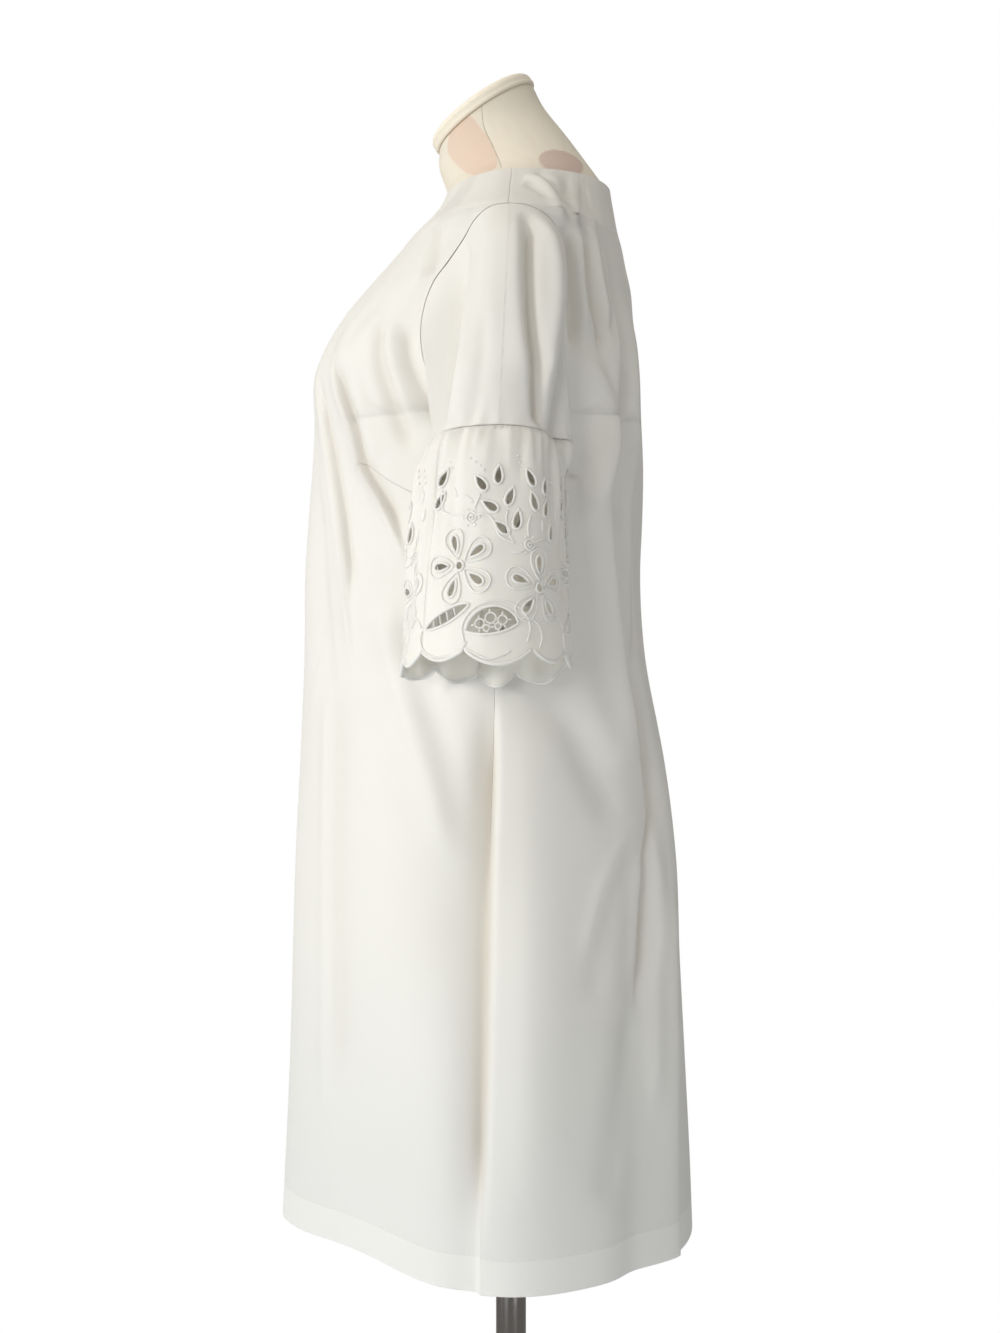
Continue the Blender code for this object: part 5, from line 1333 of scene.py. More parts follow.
def crepe_material():
    """Ivory crepe: a fine pebbled weave, faintly mottled, with painted cool shade on the low skirt
    where nothing lies behind it, lighter where the hem is doubled and with painted brown shade in
    its narrow hollows."""
    material, tree, shader = start_material("ivory_crepe")
    height, place = cloth_threads(tree, 0.00062, 0.0005, 3)
    broad = noise(tree, place, 9, 3)
    colour = colour_mix(tree, broad, (0.822, 0.805, 0.757, 1), (0.858, 0.843, 0.797, 1))
    hem = mark_value(tree, "above_hem")
    # painted cool shade on the low skirt below the form, where nothing lies behind the cloth, growing
    # towards the hem
    low = math_node(tree, "MULTIPLY_ADD", hem, -4, 1.05)
    low = math_node(tree, "MULTIPLY", math_node(tree, "MAXIMUM", low, 0), 0.55)
    colour = colour_mix(tree, math_node(tree, "MINIMUM", low, 0.45), colour, (0.715, 0.73, 0.735, 1))
    doubled = math_node(tree, "LESS_THAN", hem, HEM_TURNING)
    colour = colour_mix(tree, math_node(tree, "MULTIPLY", doubled, 0.5), colour, (0.88, 0.872, 0.845, 1))
    dart = line_mask(tree, "dart", 0.0007)
    colour = colour_mix(tree, math_node(tree, "MULTIPLY", dart, 0.5), colour, (0.55, 0.51, 0.44, 1))
    # painted warm brown shade in the narrow hollows of the creases, as strong as they are deep
    crease_shade = math_node(tree, "MULTIPLY", mark_value(tree, "crease_shade"), 0.5)
    colour = colour_mix(tree, crease_shade, colour, (0.56, 0.49, 0.39, 1))
    edge = line_mask(tree, "hem_edge", 0.0009)
    height = math_node(tree, "MULTIPLY_ADD", dart, -9, height)
    height = math_node(tree, "MULTIPLY_ADD", edge, -3, height)
    set_inputs(tree, shader, {
        "Base Color": colour, "Normal": bump_map(tree, height, 0.00005), "Roughness": 0.72,
        "Specular IOR Level": 0.35, "Sheen Weight": 0.12, "Sheen Roughness": 0.4})
    return material


def cutwork_material():
    """Flounce cloth: closer and smoother than the crepe, with some light going through it."""
    material, tree, shader = start_material("ivory_cutwork")
    height, place = cloth_threads(tree, 0.00042, 0.00042, 2)
    broad = noise(tree, place, 30, 3)
    colour = colour_mix(tree, broad, (0.852, 0.822, 0.752, 1), (0.892, 0.866, 0.8, 1))
    set_inputs(tree, shader, {
        "Base Color": colour, "Normal": bump_map(tree, height, 0.00003), "Roughness": 0.58,
        "Sheen Weight": 0.08, "Subsurface Weight": 0.4, "Subsurface Scale": 1,
        "Subsurface Radius": (0.003, 0.0027, 0.0022)})
    return material


def thread_material():
    """Glossy satin stitches: ridges across the cord, one for each thread, with a painted highlight on
    each and painted shade between them.
    """
    material, tree, shader = start_material("embroidery_thread")
    place = add_node(tree, "ShaderNodeUVMap", uv_map="cloth").outputs[0]
    along = add_node(tree, "ShaderNodeSeparateXYZ", {0: place}).outputs[0]
    uneven = noise(tree, place, 1500, 1)
    turn = math_node(tree, "MULTIPLY", along, 2 * math.pi / STITCH_PITCH)
    turn = math_node(tree, "MULTIPLY_ADD", uneven, 2.5, turn)
    height = math_node(tree, "SINE", turn)
    # painted highlight on the stitches' crests and painted shade between them, from the ridges' height
    shade = math_node(tree, "MULTIPLY_ADD", height, 0.5, 0.5)
    colour = colour_mix(tree, shade, (0.88, 0.865, 0.82, 1), (0.96, 0.95, 0.915, 1))
    set_inputs(tree, shader, {
        "Base Color": colour, "Normal": bump_map(tree, height, 0.00005), "Roughness": 0.42,
        "Sheen Weight": 0.1})
    return material


def linen_material():
    """The form's cover: plain woven linen with slubs, seams as fine grooves, and two faded stains
    on each side of the neck: a pink one, and one behind it that is pink darkened by painted shade."""
    material, tree, shader = start_material("cream_linen")
    height, place = cloth_threads(tree, 0.0008, 0.00075, 2.2)
    slub = noise(tree, place, 60, 4)
    colour = colour_mix(tree, slub, (0.86, 0.782, 0.64, 1), (0.925, 0.862, 0.74, 1))
    colour = colour_mix(tree, mark_value(tree, "pink"), colour, (0.835, 0.64, 0.51, 1))
    # the stain behind the seam: pink, darkened by painted shade
    colour = colour_mix(tree, mark_value(tree, "shaded_pink"), colour, (0.64, 0.47, 0.41, 1))
    seam = line_mask(tree, "seam", 0.0008)
    colour = colour_mix(tree, math_node(tree, "MULTIPLY", seam, 0.55), colour, (0.36, 0.29, 0.2, 1))
    height = math_node(tree, "MULTIPLY_ADD", seam, -8, height)
    set_inputs(tree, shader, {
        "Base Color": colour, "Normal": bump_map(tree, height, 0.00006), "Roughness": 0.85,
        "Sheen Weight": 0.1})
    return material


def steel_material():
    """Polished tube: dark mirror steel with fine turning lines and faint smears."""
    material, tree, shader = start_material("polished_steel")
    place = add_node(tree, "ShaderNodeTexCoord").outputs["Object"]
    stretch = add_node(tree, "ShaderNodeMapping", {"Vector": place, "Scale": (40, 40, 2500)})
    lines = noise(tree, stretch.outputs[0], 1, 2)
    rough = math_node(tree, "MULTIPLY_ADD", noise(tree, place, 18, 4), 0.16, 0.1)
    set_inputs(tree, shader, {
        "Base Color": (0.3, 0.28, 0.265, 1), "Normal": bump_map(tree, lines, 0.00001),
        "Roughness": rough, "Metallic": 1})
    return material


# ---- pieces of the dress
def line_offset(points, normals, line):
    """Signed distance of points from a line on the surface, large beyond the line's ends."""
    best, leg, share, away, distance = nearest_leg(points, line)
    signed = (np.cross(normals, leg) * away).sum(-1) / np.linalg.norm(leg, axis=-1)
    return signed + np.where((best == 0) & (share < 0), 3 * distance, 0)


def dart_marks(girth, z, side):
    """Distance from the side's bust dart."""
    line = path_line(DARTS[side], plain_body, 16)
    points, normals = plain_body(girth, z), body_normal(girth, z)
    flat = line_offset(points.reshape(-1, 3), normals.reshape(-1, 3), line)
    return np.clip(flat.reshape(girth.shape), -DART_FAR, DART_FAR)


def panel_piece(name, node, layers, distances, dart, side, material):
    """A panel's layers as one shell, with its cloth's marks."""
    rows, columns, _ = layers[0].shape
    faces = grid_quads(rows, columns)
    if side == "right":
        faces = faces[:, ::-1]
    points, blocks = shell([layer.reshape(-1, 3) for layer in layers], faces)
    from_centre, from_hem = distances[..., 0].ravel(), distances[..., 1].ravel()
    uv = np.tile(stacked(from_centre, from_hem), (2, 1))
    marks = {"above_hem": np.tile(from_hem, 2), "hem_edge": np.tile(from_hem - HEM_TURNING, 2),
             "dart": np.tile(dart.ravel(), 2), "crease_shade": np.tile(distances[..., 2].ravel(), 2)}
    piece = new_piece(name, points, blocks, material, uv, marks)
    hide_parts(node)
    return piece


def make_front(material):
    """Both halves of the front in one grid, which meet halfway at the centre line."""
    left, left_far, *left_grid = half_panel("left", True)
    right, right_far, *right_grid = half_panel("right", True)
    darts = [dart_marks(*left_grid, "left"), dart_marks(*right_grid, "right")]
    right_far[..., 0] *= -1
    layers = []
    for a, b in zip(left, right):
        middle = (a[:, -1:] + b[:, -1:]) / 2
        layers.append(np.concatenate([b[:, :-1], middle, a[:, -2::-1]], axis=1))
    far = np.concatenate([right_far[:, :-1], left_far[:, ::-1]], axis=1)
    dart = np.concatenate([darts[1][:, :-1], darts[0][:, ::-1]], axis=1)
    return panel_piece("front_cloth", "front_panel", layers, far, dart, "left", material)


def make_back(side, material):
    layers, far, girth, _ = half_panel(side, False)
    dart = np.full(girth.shape, DART_FAR)
    return panel_piece(f"back_cloth_{side}", f"back_panel_{side}", layers, far, dart, side, material)


def make_sleeve(side, material):
    """A sleeve: its plain ribs moved by its creases, both edges turned in. Its columns crowd to
    the creases by bells, and above the seam it puckers in waves of uneven pitch and height."""
    dense = np.linspace(0, RIBS, SLEEVE_SAMPLES)
    density = np.ones(SLEEVE_SAMPLES)
    for rib, width in SLEEVE_CROWDS:
        density += SLEEVE_CROWDING * np.exp(-(((dense - rib) / width) ** 2))
    run = np.concatenate([[0], np.cumsum(density[:-1])])
    columns = np.interp(np.linspace(0, run[-1], SLEEVE_STEPS, endpoint=False), run, dense)
    edge = np.array(SLEEVE_EDGE_SHARES)
    rows = np.concatenate([edge, np.linspace(0, 1, SLEEVE_ROWS + 1)[1:-1], 1 - edge[::-1]])
    at, along = np.meshgrid(columns, rows)
    points, normals = plain_sleeve(at, along), sleeve_normal(at, along)
    relief, crease_shade = np.zeros(at.shape), np.zeros(at.shape)
    for crease in creases_of(SLEEVE_CREASES, 1):
        if crease["side"] == side:
            line = path_line(crease["path"], lambda a, b: plain_sleeve(np.mod(a, RIBS), b))
            open_end = crease["path"][-1, 1] > SLEEVE_OPEN_END
            depth = crease_depth(points, normals, line, crease, open_end)
            relief += depth
            crease_shade += crease_shade_of(depth, crease)
    relief *= ease(along / SLEEVE_CALM[0]) * ease((1 - along) / SLEEVE_CALM[1])
    run = run_from(points, 0)
    turn = 2 * math.pi * at / RIBS
    pucker = np.cos(PUCKERS * turn + 1.5 * np.sin(4 * turn)) * (0.7 + 0.5 * np.sin(7 * turn))
    relief += PUCKER_DEPTH * pucker * np.exp(-(run[-1:] - run) / PUCKER_RISE) * ease((1 - along) / 0.01)
    roll = edge_roll(run) + edge_roll(run[-1:] - run)
    outer = plain_sleeve(at, along, roll) + normals * relief[..., None]
    inner = plain_sleeve(at, along, inner_depth(roll)) + normals * relief[..., None]
    faces = grid_quads(len(rows), SLEEVE_STEPS, closed=True)
    if side == "right":
        faces = faces[:, ::-1]
    layers = [mirrored(layer.reshape(-1, 3), side) for layer in (outer, inner)]
    cloth, blocks = shell(layers, faces)
    around = np.broadcast_to(columns / RIBS * SLEEVE_GIRTH, at.shape)
    uv = np.tile(stacked(around.ravel(), run.ravel()), (2, 1))
    far = np.full(len(cloth), 1)
    marks = {"above_hem": far, "hem_edge": far, "dart": far * DART_FAR,
             "crease_shade": np.tile(np.clip(crease_shade * SLEEVE_CREASE_SHADE, 0, 1).ravel(), 2)}
    piece = new_piece(f"sleeve_cloth_{side}", cloth, blocks, material, uv, marks)
    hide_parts(f"sleeve_{side}")
    return piece


def part_span(part):
    """Where a part of the flounce starts in the flat cloth, and how many repeats it has."""
    if part == "outer":
        return FLOUNCE_SPLIT, OUTER_REPEATS
    return FLOUNCE_SPLIT + OUTER_REPEATS * REPEAT, REPEATS - OUTER_REPEATS


def make_flounce_part(side, part, material):
    """Part of a flounce: its flat cut cloth, draped, its top edge turned in."""
    start, repeats = part_span(part)
    flat, faces = cut_cloth(start, repeats)
    middle = start + repeats * REPEAT / 2
    squeeze = 1 - FLOUNCE_SPLIT_GAP / (repeats * REPEAT)
    across = middle + (flat[:, 0] - middle) * squeeze
    roll = edge_roll(flat[:, 1])
    outer = mirrored(flounce_surface(across, flat[:, 1], roll), side)
    inner = mirrored(flounce_surface(across, flat[:, 1], inner_depth(roll)), side)
    if side == "left":
        faces = faces[:, ::-1]
    points, blocks = shell([outer, inner], faces)
    uv = np.tile(flat, (2, 1))
    piece = new_piece(f"flounce_cloth_{side}_{part}", points, blocks, material, uv)
    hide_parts(f"flounce_{side}_{part}")
    return piece


# ---- embroidery
def flounce_axes(flat):
    """The draped place of flat points, with the cloth's two directions and its normal there."""
    step = 0.0004
    across, down = flat[:, 0], flat[:, 1]
    place = flounce_surface(across, down)
    along_across = flounce_surface(across + step, down) - flounce_surface(across - step, down)
    along_down = flounce_surface(across, down + step) - flounce_surface(across, down - step)
    along_across, along_down = along_across / (2 * step), along_down / (2 * step)
    normal = unit(np.cross(along_down, along_across))
    return place, along_across, along_down, normal


def smooth_path(points, spacing=CORD_STEP):
    """A smooth open path through a few flat points."""
    length = np.linalg.norm(np.diff(points, axis=0), axis=1).sum()
    return curve_through(points, np.linspace(0, len(points) - 1, max(4, round(length / spacing))))


def even_loop(outline, spacing=CORD_STEP):
    """A closed outline with its points evenly spaced."""
    ring = np.concatenate([outline, outline[:1]])
    length = run_from(ring, 0)
    at = np.linspace(0, length[-1], max(8, round(length[-1] / spacing)), endpoint=False)
    return np.stack([np.interp(at, length, ring[:, k]) for k in range(2)], axis=-1)


class Stitching:
    """Collects satin cords and raised pads of one flounce part into one mesh."""

    def __init__(self):
        self.cords = []
        self.pads = []

    def cord(self, path, size, closed=False):
        self.cords.append((path, size, closed))

    def pad(self, outline, height):
        self.pads.append((outline, height))

    def cord_mesh(self):
        """Half-sunk oval tubes: each path point carries a ring of points across the cord, whose
        place is the path's plus the cosine beside it and the sine up from the cloth."""
        points, faces, uvs, first, sides = [], [], [], 0, CORD_SIDES
        turn = even_turns(sides) + math.pi / sides
        for path, (width, height), closed in self.cords:
            place, across, down, normal = flounce_axes(path)
            taper = np.ones(len(path))
            if closed:
                step = np.roll(path, -1, axis=0) - np.roll(path, 1, axis=0)
            else:
                step = np.gradient(path, axis=0)
                taper[[0, -1]] = CORD_END
            along = unit(step[:, :1] * across + step[:, 1:] * down)
            beside = np.cross(normal, along)
            ring = (beside[:, None] * (np.cos(turn) * width / 2)[None, :, None] * taper[:, None, None]
                    + normal[:, None] * (np.sin(turn) * height)[None, :, None] * taper[:, None, None])
            tube = place[:, None] + normal[:, None] * CORD_LIFT + ring
            run = run_from(place, 0)[:, None]
            uv = np.stack(np.broadcast_arrays(run, (turn * width / 2)[None]), axis=-1)
            points.append(tube.reshape(-1, 3))
            uvs.append(uv.reshape(-1, 2))
            low = np.arange(sides)
            top = low + (len(path) - 1) * sides
            quads = grid_quads(len(path), sides, closed=True)
            if closed:
                join = stacked(top, np.roll(top, -1), np.roll(low, -1), low)
                faces.append(np.concatenate([quads, join]) + first)
            else:
                faces += [quads + first, np.stack([low[::-1], top]) + first]
            first += len(path) * sides
        return points, faces, uvs, first

    def pad_mesh(self, first):
        """Domes over an outline: the outline shrunk towards its middle while it rises as the
        square root of one minus the square of its size."""
        points, faces, uvs = [], [], []
        sizes = np.array(PAD_SIZES)
        for outline, height in self.pads:
            middle = outline.mean(axis=0)
            rings = (middle + (outline - middle) * sizes[:, None, None]).reshape(-1, 2)
            place, _, _, normal = flounce_axes(rings)
            count = len(outline)
            lift = np.repeat(height * np.sqrt(1 - sizes**2 * 0.999), count) - PAD_SINK
            quads = grid_quads(len(sizes), count, closed=True)
            top = np.arange(count)[None] + (len(sizes) - 1) * count
            low = np.arange(count)[None, ::-1]
            if signed_area(outline) > 0:
                quads, top, low = quads[:, ::-1], top[:, ::-1], low[:, ::-1]
            points.append(place + normal * lift[:, None])
            uvs.append(rings)
            faces += [quads + first, top + first, low + first]
            first += len(rings)
        return points, faces, uvs

    def mesh(self):
        points, faces, uvs, first = self.cord_mesh()
        more = self.pad_mesh(first)
        points, faces, uvs = points + more[0], faces + more[1], uvs + more[2]
        by_size = {}
        for block in faces:
            by_size.setdefault(block.shape[1], []).append(block)
        blocks = [np.concatenate(group) for group in by_size.values()]
        return np.concatenate(points), blocks, np.concatenate(uvs)


def stitch_flower(work, across, down, turn):
    """A flower: the border of its eye, and each petal's loop and eyelet border."""
    eye = grown(oval(*FLOWER_EYE, 20), EYE_MARGIN)
    drop = grown(teardrop(*PETAL_EYELET, 40), DROP_MARGIN)
    work.cord(even_loop(turned(eye, across, down, turn)), BORDER, True)
    for x, y, angle in petal_places(across, down, turn):
        work.cord(even_loop(turned(petal_loop(60), across, down, angle)), CORD, True)
        work.cord(even_loop(turned(drop, x, y, angle + 180)), BORDER, True)


def stitch_crescent(work, start):
    """The crescent's border, and its leaning bars."""
    across, down, turn = CRESCENT
    outline = grown(crescent(*CRESCENT_SIZE, 30), SLOT_MARGIN)
    work.cord(even_loop(turned(outline, start + across, down, turn)), BORDER, True)
    low, high = crescent_sides(*CRESCENT_SIZE, np.array(CRESCENT_BARS))
    high[:, 0] += BAR_SLANT
    for bar in np.stack([low, high], axis=1):
        work.cord(smooth_path(turned(bar, start + across, down, turn), FINE_STEP), THREAD)


def stitch_shell(work, start):
    """The netted opening: its border, small rings and the threads that hold them."""
    across, down, turn = SHELL
    outline = grown(shell_opening(*SHELL_SIZE, 30), SLOT_MARGIN)
    work.cord(even_loop(turned(outline, start + across, down, turn)), BORDER, True)
    for x, y, radius in NET_RINGS:
        ring = oval(2 * radius, 2 * radius, 24) + np.array([x, y])
        work.cord(even_loop(turned(ring, start + across, down, turn), FINE_STEP), THREAD, True)
    for tie in NET_TIES:
        work.cord(smooth_path(turned(np.array(tie), start + across, down, turn), FINE_STEP), THREAD)


def stitch_repeat(work, start):
    """All motifs of one repeat."""
    for across, down, turn in FLOWERS:
        stitch_flower(work, start + across, down, turn)
    for across, down, turn in LEAVES:
        drop = grown(teardrop(*LEAF_EYELET, 40), DROP_MARGIN)
        work.cord(even_loop(turned(drop, start + across, down, turn)), BORDER, True)
        work.cord(smooth_path(turned(np.array(LEAF_TIP), start + across, down, turn)), THREAD)
    for across, down, turn in FILLED_LEAVES:
        leaf = turned(teardrop(*FILLED_LEAF, 16), start + across, down, turn)
        work.pad(leaf, PAD_HEIGHT)
    for across, down in ROSETTES:
        for radius in ROSETTE_RINGS:
            ring = oval(2 * radius, 2 * radius, 24) + np.array([start + across, down])
            work.cord(even_loop(ring, ROSETTE_STEP), CORD, True)
        for k in range(ROSETTE_DOTS):
            turn = 2 * math.pi / ROSETTE_DOTS * k
            spot = np.array([start + across + ROSETTE_DOTS_OUT * math.cos(turn),
                             down + ROSETTE_DOTS_OUT * math.sin(turn)])
            work.pad(oval(ROSETTE_DOT, ROSETTE_DOT, 10) + spot, PAD_HEIGHT)
    for across, down in KNOTS:
        spot = np.array([start + across, down])
        work.pad(oval(2 * KNOT_RADIUS, 2 * KNOT_RADIUS, 10) + spot, PAD_HEIGHT)
    for stem in STEMS:
        work.cord(smooth_path(np.array(stem) + np.array([start, 0])), CORD)
    stitch_crescent(work, start)
    stitch_shell(work, start)
    for x, y, a, b, first, last in LOBES:
        turn = np.radians(np.linspace(first, last, 30))
        arc = stacked(start + x + a * np.cos(turn), y - b * np.sin(turn))
        arc = arc[arc[:, 1] < hem_down(arc[:, 0]) - LOBE_MARGIN]
        if len(arc) > 4:
            work.cord(smooth_path(arc[::4]), CORD)


def make_stitching(side, part, material):
    """The embroidery on one flounce part, with the stitched border of its hem."""
    start, repeats = part_span(part)
    work = Stitching()
    for k in range(repeats):
        stitch_repeat(work, start + k * REPEAT)
    lobes = [(start + k * REPEAT + low, start + k * REPEAT + high) for k in range(repeats)
             for low, high in zip(SCALLOP_ENDS[:-1], SCALLOP_ENDS[1:])]
    for low, high in lobes:
        across = np.linspace(low + SEAM_GAP, high - SEAM_GAP, round((high - low) / HEM_CORD_STEP))
        work.cord(stacked(across, hem_down(across) - HEM_MARGIN), HEM_BORDER)
    points, blocks, uv = work.mesh()
    if side == "right":
        blocks = [block[:, ::-1] for block in blocks]
    piece = new_piece(f"stitching_{side}_{part}", mirrored(points, side), blocks, material, uv)
    return piece


# ---- dress form and stand
def form_rings(steps, level_count, neck_count):
    """A closed underside, level sections, which are the dress's own form less an inset, then
    ellipses of the neck that tilt forwards, with more rings between the two."""
    half = np.linspace(-90, 90, steps // 2 + 1)
    levels = np.linspace(FORM_BOTTOM_Z + FORM_ROUNDING, NECKLINE_Z, level_count)
    heights = column(FORM_INSETS, INSET_COLUMNS, "z")
    front, back = (smooth_through(heights, column(FORM_INSETS, INSET_COLUMNS, name), levels)
                   for name in ("front_inset", "back_inset"))
    behind = ease((half[None, :] + INSET_TURN) / (2 * INSET_TURN))
    inset = front[:, None] + (back - front)[:, None] * behind
    girth, z = np.broadcast_arrays(half[None, :], levels[:, None])
    left = plain_body(girth, z) - body_normal(girth, z) * inset[..., None]
    other = left[:, -2:0:-1] * np.array([-1, 1, 1])
    sections = np.concatenate([left, other], axis=1)
    middle = sections[0].mean(axis=0)
    rings = []
    for shrink, rise in FORM_UNDERSIDE:
        ring = middle + (sections[0] - middle) * shrink
        ring[:, 2] = FORM_BOTTOM_Z + rise
        rings.append(ring)
    rings += list(sections)
    turn = np.radians(np.concatenate([half, 180 - half[-2:0:-1]]))
    at = np.linspace(0, len(NECK_SECTIONS) - 1, neck_count)
    y, z, depth, width, tilt = curve_through(NECK_SECTIONS, at).T[..., None]
    tilt = np.radians(tilt)
    deep = depth * np.sin(turn)
    neck = stacked(width * np.cos(turn), y + deep * np.cos(tilt), z + deep * np.sin(tilt))
    between = [rings[-1] + (neck[0] - rings[-1]) * share for share in NECK_JOIN]
    return np.concatenate([np.array(rings), between, neck]), len(rings), turn


def make_form(material):
    """The torso and neck under the dress, with the cover's seams and stains as marks."""
    rings, first_neck, turn = form_rings(FORM_COLUMNS, FORM_LEVELS, NECK_RINGS)
    rows, columns, _ = rings.shape
    points = rings.reshape(-1, 3)
    k = np.arange(columns)
    faces = [grid_quads(rows, columns, closed=True), k[None, ::-1], k[None] + (rows - 1) * columns]
    run = run_from(rings, 0)
    around = np.broadcast_to(np.linspace(0, FORM_GIRTH, columns, endpoint=False), (rows, columns))
    uv = stacked(around.ravel(), run.ravel())
    on_neck = np.clip((np.arange(rows) - first_neck) / (rows - 1 - first_neck), 0, 1)[:, None]
    girth = np.degrees(np.arcsin(np.clip(np.sin(turn), -1, 1)))[None]
    seam_girth = NECK_SEAM[0] + NECK_SEAM[1] * on_neck
    radius = np.hypot(rings[..., 0], rings[..., 1] - rings[..., 1].mean(axis=1, keepdims=True))
    seam = np.radians(girth - seam_girth) * radius
    neck = np.arange(rows)[:, None] >= first_neck - 1
    y, z = rings[..., 1], rings[..., 2]
    off = np.hypot((-seam - PINK_MIDDLE[0]) / PINK_SIZE[0], (z - PINK_MIDDLE[1]) / PINK_SIZE[1])
    pink = ease((1 - off) / STAIN_EDGE) * (seam < -PINK_FROM_SEAM) * neck
    size = np.where(z < SHADED_PINK_MIDDLE[1], *SHADED_PINK_HEIGHTS)
    off = np.hypot((y - SHADED_PINK_MIDDLE[0]) / SHADED_PINK_LENGTH, (z - SHADED_PINK_MIDDLE[1]) / size)
    shaded_pink = ease((1 - off) / STAIN_EDGE) * neck
    marks = {"seam": np.clip(seam, -SEAM_FAR, SEAM_FAR), "pink": pink * PINK_SHARE,
             "shaded_pink": shaded_pink * SHADED_PINK_SHARE}
    piece = new_piece("form_cover", points, faces, material, uv, marks)
    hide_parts("form_torso")
    return piece


def corner(radius, z, size, upper, steps=8):
    """Quarter round of a turned rim: down onto the side from the top, or in to the bottom."""
    turn = np.linspace(0, math.pi / 2, steps + 1)
    out, up = (np.sin(turn), np.cos(turn)) if upper else (np.cos(turn), -np.sin(turn))
    level = z - size if upper else z + size
    return list(zip(radius - size + size * out, level + size * up))


def make_cap(material):
    """The padded cap: a parabola's low dome with a welt round its lower edge, tilted with the
    neck."""
    profile = [(CAP_RADIUS * t, CAP_THICKNESS + CAP_DOME * (1 - t**2)) for t in (0, 0.2, 0.4, 0.6, 0.8)]
    profile += corner(CAP_RADIUS, CAP_THICKNESS, CAP_ROUNDING, True)
    profile += [(CAP_RADIUS + out, level) for out, level in WELT_GROOVE] + [(WELT_RADIUS, WELT_TOP)]
    profile += corner(WELT_RADIUS, 0, WELT_ROUNDING, False, 6)
    profile += [(CAP_RADIUS * 0.5, 0), (0, 0)]
    points, faces = lathe(profile, CAP_STEPS)
    angle = np.arctan2(points[:, 1], points[:, 0])
    uv = points[:, :2].copy()
    rim = points[:, 2] < CAP_RIM_Z
    uv[rim] = stacked(angle * CAP_RADIUS, points[:, 2] + CAP_RIM_CLOTH)[rim]
    y, z, _, _, tilt = NECK_SECTIONS[-1]
    tilt = math.radians(tilt)
    level = points[:, 2] + SEAM_GAP
    placed = stacked(points[:, 0], y + points[:, 1] * math.cos(tilt) - level * math.sin(tilt),
                     z + points[:, 1] * math.sin(tilt) + level * math.cos(tilt))
    none = np.zeros(len(points))
    marks = {"seam": none + SEAM_FAR, "pink": none, "shaded_pink": none}
    piece = new_piece("cap_cover", placed, faces, material, uv, marks)
    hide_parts("neck_cap")
    return piece


def make_stand(material):
    """The round base plate with its boss, and the pole between it and the form."""
    profile = [(0, BASE_BOSS_TOP), (POLE_RADIUS + BASE_FILLET, BASE_BOSS_TOP)]
    profile += corner(BASE_BOSS_RADIUS, BASE_BOSS_TOP, BOSS_ROUNDING, True)
    profile += [(BASE_BOSS_RADIUS, BASE_THICKNESS + BASE_FILLET),
                (BASE_BOSS_RADIUS + BASE_FILLET, BASE_THICKNESS)]
    profile += corner(BASE_RADIUS, BASE_THICKNESS, BASE_ROUNDING, True)
    profile += corner(BASE_RADIUS, 0, BASE_FILLET, False, 4)
    profile.append((0, 0))
    points, faces = lathe(profile, BASE_STEPS)
    base = new_piece("base_disc", points, faces, material)
    bottom, top = BASE_BOSS_TOP + SEAM_GAP, FORM_BOTTOM_Z - SEAM_GAP
    profile = [(0, top)] + corner(POLE_RADIUS, top, POLE_ROUNDING, True, 3)
    profile += corner(POLE_RADIUS, bottom, POLE_ROUNDING, False, 3) + [(0, bottom)]
    points, faces = lathe(profile, POLE_STEPS)
    pole = new_piece("pole_tube", points, faces, material)
    for piece, node in ((base, "stand_base"), (pole, "stand_pole")):
        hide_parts(node)
        piece.data.set_sharp_from_angle(angle=math.radians(SHARP_ANGLE))


def make_hem_stitches(material):
    """The hem's small prick stitches, on the outside of the cloth: short round tubes with thin
    ends, at uneven spacing."""
    points, faces, first = [], [], 0
    turn = even_turns(PRICK_SIDES)
    stitch_size = len(PRICK_RINGS) * PRICK_SIDES
    for side in ("left", "right"):
        girth = np.arange(*PRICK_GIRTHS)
        girth = girth + 0.6 * np.sin(girth * 1.7)
        z = np.full(len(girth), HEM_Z + HEM_TURNING)
        sink, _ = body_relief(girth, z, side)
        ends = [body_surface(girth + off, z, side, sink - PRICK_SINK)
                for off in (-PRICK_HALF, PRICK_HALF)]
        normal = mirrored(body_normal(girth, z), side)
        along = unit(ends[1] - ends[0])
        beside = np.cross(normal, along)
        rings = []
        circle = (beside[:, None] * np.cos(turn)[None, :, None]
                  + normal[:, None] * np.sin(turn)[None, :, None])
        for share, size in PRICK_RINGS:
            middle = ends[0] + (ends[1] - ends[0]) * share
            rings.append(middle[:, None] + PRICK_RADIUS * size * circle)
        tubes = np.stack(rings, axis=1)
        quads = grid_quads(len(PRICK_RINGS), PRICK_SIDES, closed=True)
        if side == "right":
            quads = quads[:, ::-1]
        offsets = first + np.arange(len(girth)) * stitch_size
        faces.append((quads[None] + offsets[:, None, None]).reshape(-1, 4))
        points.append(tubes.reshape(-1, 3))
        first += len(girth) * stitch_size
    points = np.concatenate(points)
    piece = new_piece("hem_stitches", points, [np.concatenate(faces)], material, points[:, :2])
    return piece


# ---- stage, light and camera
FLOOR_RADIUS = 1.05
FLOOR_Z = -0.0006
FLOOR_CORNERS = 96
CAMERA_PLACE = (1.6, -0.0096, 1.007)
FOCAL_PIXELS = 1840
FRAME_PIXELS = 1333  # height of the frame
SENSOR_HEIGHT = 36


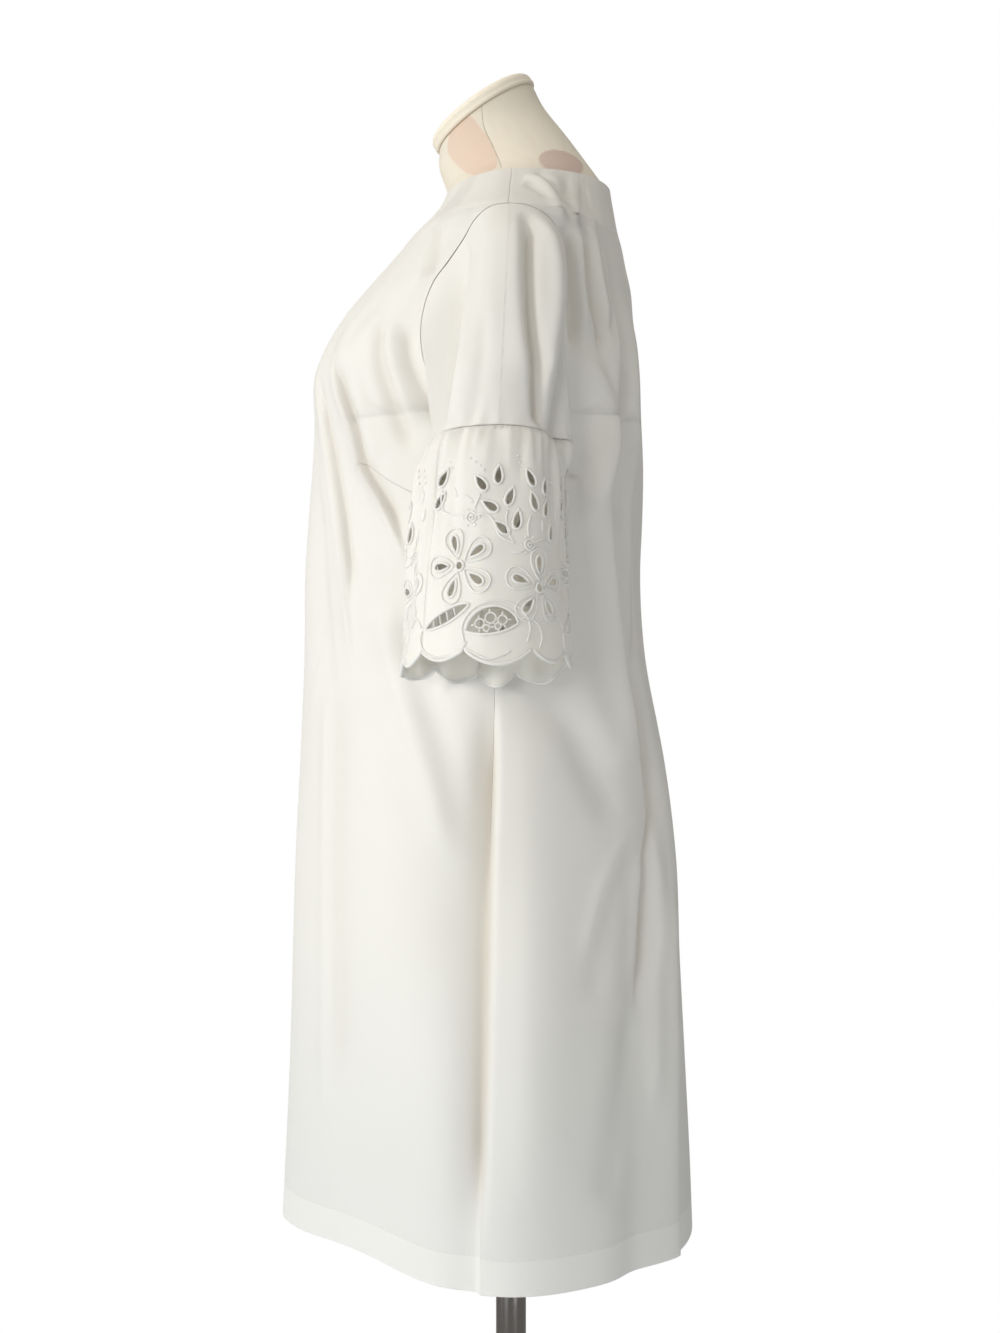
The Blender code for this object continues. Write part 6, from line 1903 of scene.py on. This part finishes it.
def make_stage():
    """A round floor, just under the base plate."""
    material, tree, shader = start_material("studio_floor")
    place = add_node(tree, "ShaderNodeTexCoord").outputs["Object"]
    colour = colour_mix(tree, noise(tree, place, 40, 3), (0.83, 0.83, 0.82, 1), (0.87, 0.87, 0.86, 1))
    set_inputs(tree, shader, {"Base Color": colour, "Roughness": 0.9})
    turn = even_turns(FLOOR_CORNERS)
    disc = FLOOR_RADIUS * stacked(np.cos(turn), np.sin(turn))
    points = np.column_stack([disc, np.full(FLOOR_CORNERS, FLOOR_Z)])
    mesh = bpy.data.meshes.new("floor")
    mesh.from_pydata(points.tolist(), [], [tuple(range(FLOOR_CORNERS))])
    mesh.materials.append(material)
    floor = bpy.data.objects.new("floor", mesh)
    bpy.context.scene.collection.objects.link(floor)


WORLD_LIGHT = (0.293, 0.289, 0.28, 1)
# Each light: name, place, size, power and colour.
LIGHTS = (
    ("front", (0.5, -2.1, 1.6), 1, 16, (1, 0.985, 0.955)),
    ("window", (1.9, -1.9, 1.6), 0.5, 19, (1, 0.98, 0.935)),
    ("ahead", (2.4, -0.9, 1.25), 0.6, 9.5, (1, 0.985, 0.955)),
    ("above", (0.2, -0.2, 2.9), 1, 7.5, (1, 0.95, 0.87)),
    ("low", (1.6, -1.2, 0.35), 0.8, 2.5, (0.8, 0.91, 1)),
    ("floor", (0.4, -1.8, 0.5), 0.8, 4.5, (0.8, 0.9, 1)),
    ("beside", (1.3, 0.8, 0.4), 0.5, 4.2, (0.88, 0.94, 1)),
    ("behind", (0.9, 1, 2.3), 0.6, 2.5, (1, 0.93, 0.8)),
    ("right", (-2.2, 0.25, 1.5), 1, 9, (1, 0.985, 0.955)),
    # inside the flounces, behind their openings
    ("left_flounce", (0.245, -0.02, 1.085), 0.05, 0.005, (1, 0.95, 0.8)),
    ("right_flounce", (-0.245, -0.02, 1.085), 0.05, 0.005, (1, 0.95, 0.8)),
)
LIGHT_TARGET = (0, 0, 1.1)


def add_area_light(name, place, size, power, colour):
    light = bpy.data.lights.new(name, "AREA")
    light.energy = power
    light.size = size
    light.color = colour
    lamp = bpy.data.objects.new(name, light)
    lamp.location = place
    lamp.rotation_euler = (Vector(LIGHT_TARGET) - Vector(place)).to_track_quat("-Z", "Y").to_euler()
    bpy.context.scene.collection.objects.link(lamp)


def make_light_and_camera():
    scene = bpy.context.scene
    scene.view_settings.view_transform = "Standard"
    world = bpy.data.worlds.new("studio")
    scene.world = world
    world.use_nodes = True
    tree = world.node_tree
    background = tree.nodes["Background"]
    seen = add_node(tree, "ShaderNodeLightPath").outputs["Is Camera Ray"]
    tree.links.new(colour_mix(tree, seen, WORLD_LIGHT, (1, 1, 1, 1)), background.inputs["Color"])
    for row in LIGHTS:
        add_area_light(*row)
    camera = bpy.data.cameras.new("camera")
    camera.sensor_fit = "VERTICAL"
    camera.sensor_height = SENSOR_HEIGHT
    camera.lens = FOCAL_PIXELS * SENSOR_HEIGHT / FRAME_PIXELS
    camera.clip_start = 0.02
    holder = bpy.data.objects.new("camera", camera)
    holder.location = CAMERA_PLACE
    holder.rotation_euler = (math.pi / 2, 0, math.pi / 2)
    scene.collection.objects.link(holder)
    scene.camera = holder


# ---- the whole object
def main():
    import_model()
    make_light_and_camera()
    crepe, cutwork, thread = crepe_material(), cutwork_material(), thread_material()
    linen, steel = linen_material(), steel_material()

    form = make_form(linen)
    make_cap(linen)
    make_stand(steel)
    front = make_front(crepe)
    stitches = make_hem_stitches(thread)
    for side in ("left", "right"):
        back = make_back(side, crepe)
        sleeve = make_sleeve(side, crepe)
        for part, width in (("outer", 0.26), ("inner", 0.13)):
            cloth = make_flounce_part(side, part, cutwork)
            stitching = make_stitching(side, part, thread)
    make_stage()


main()
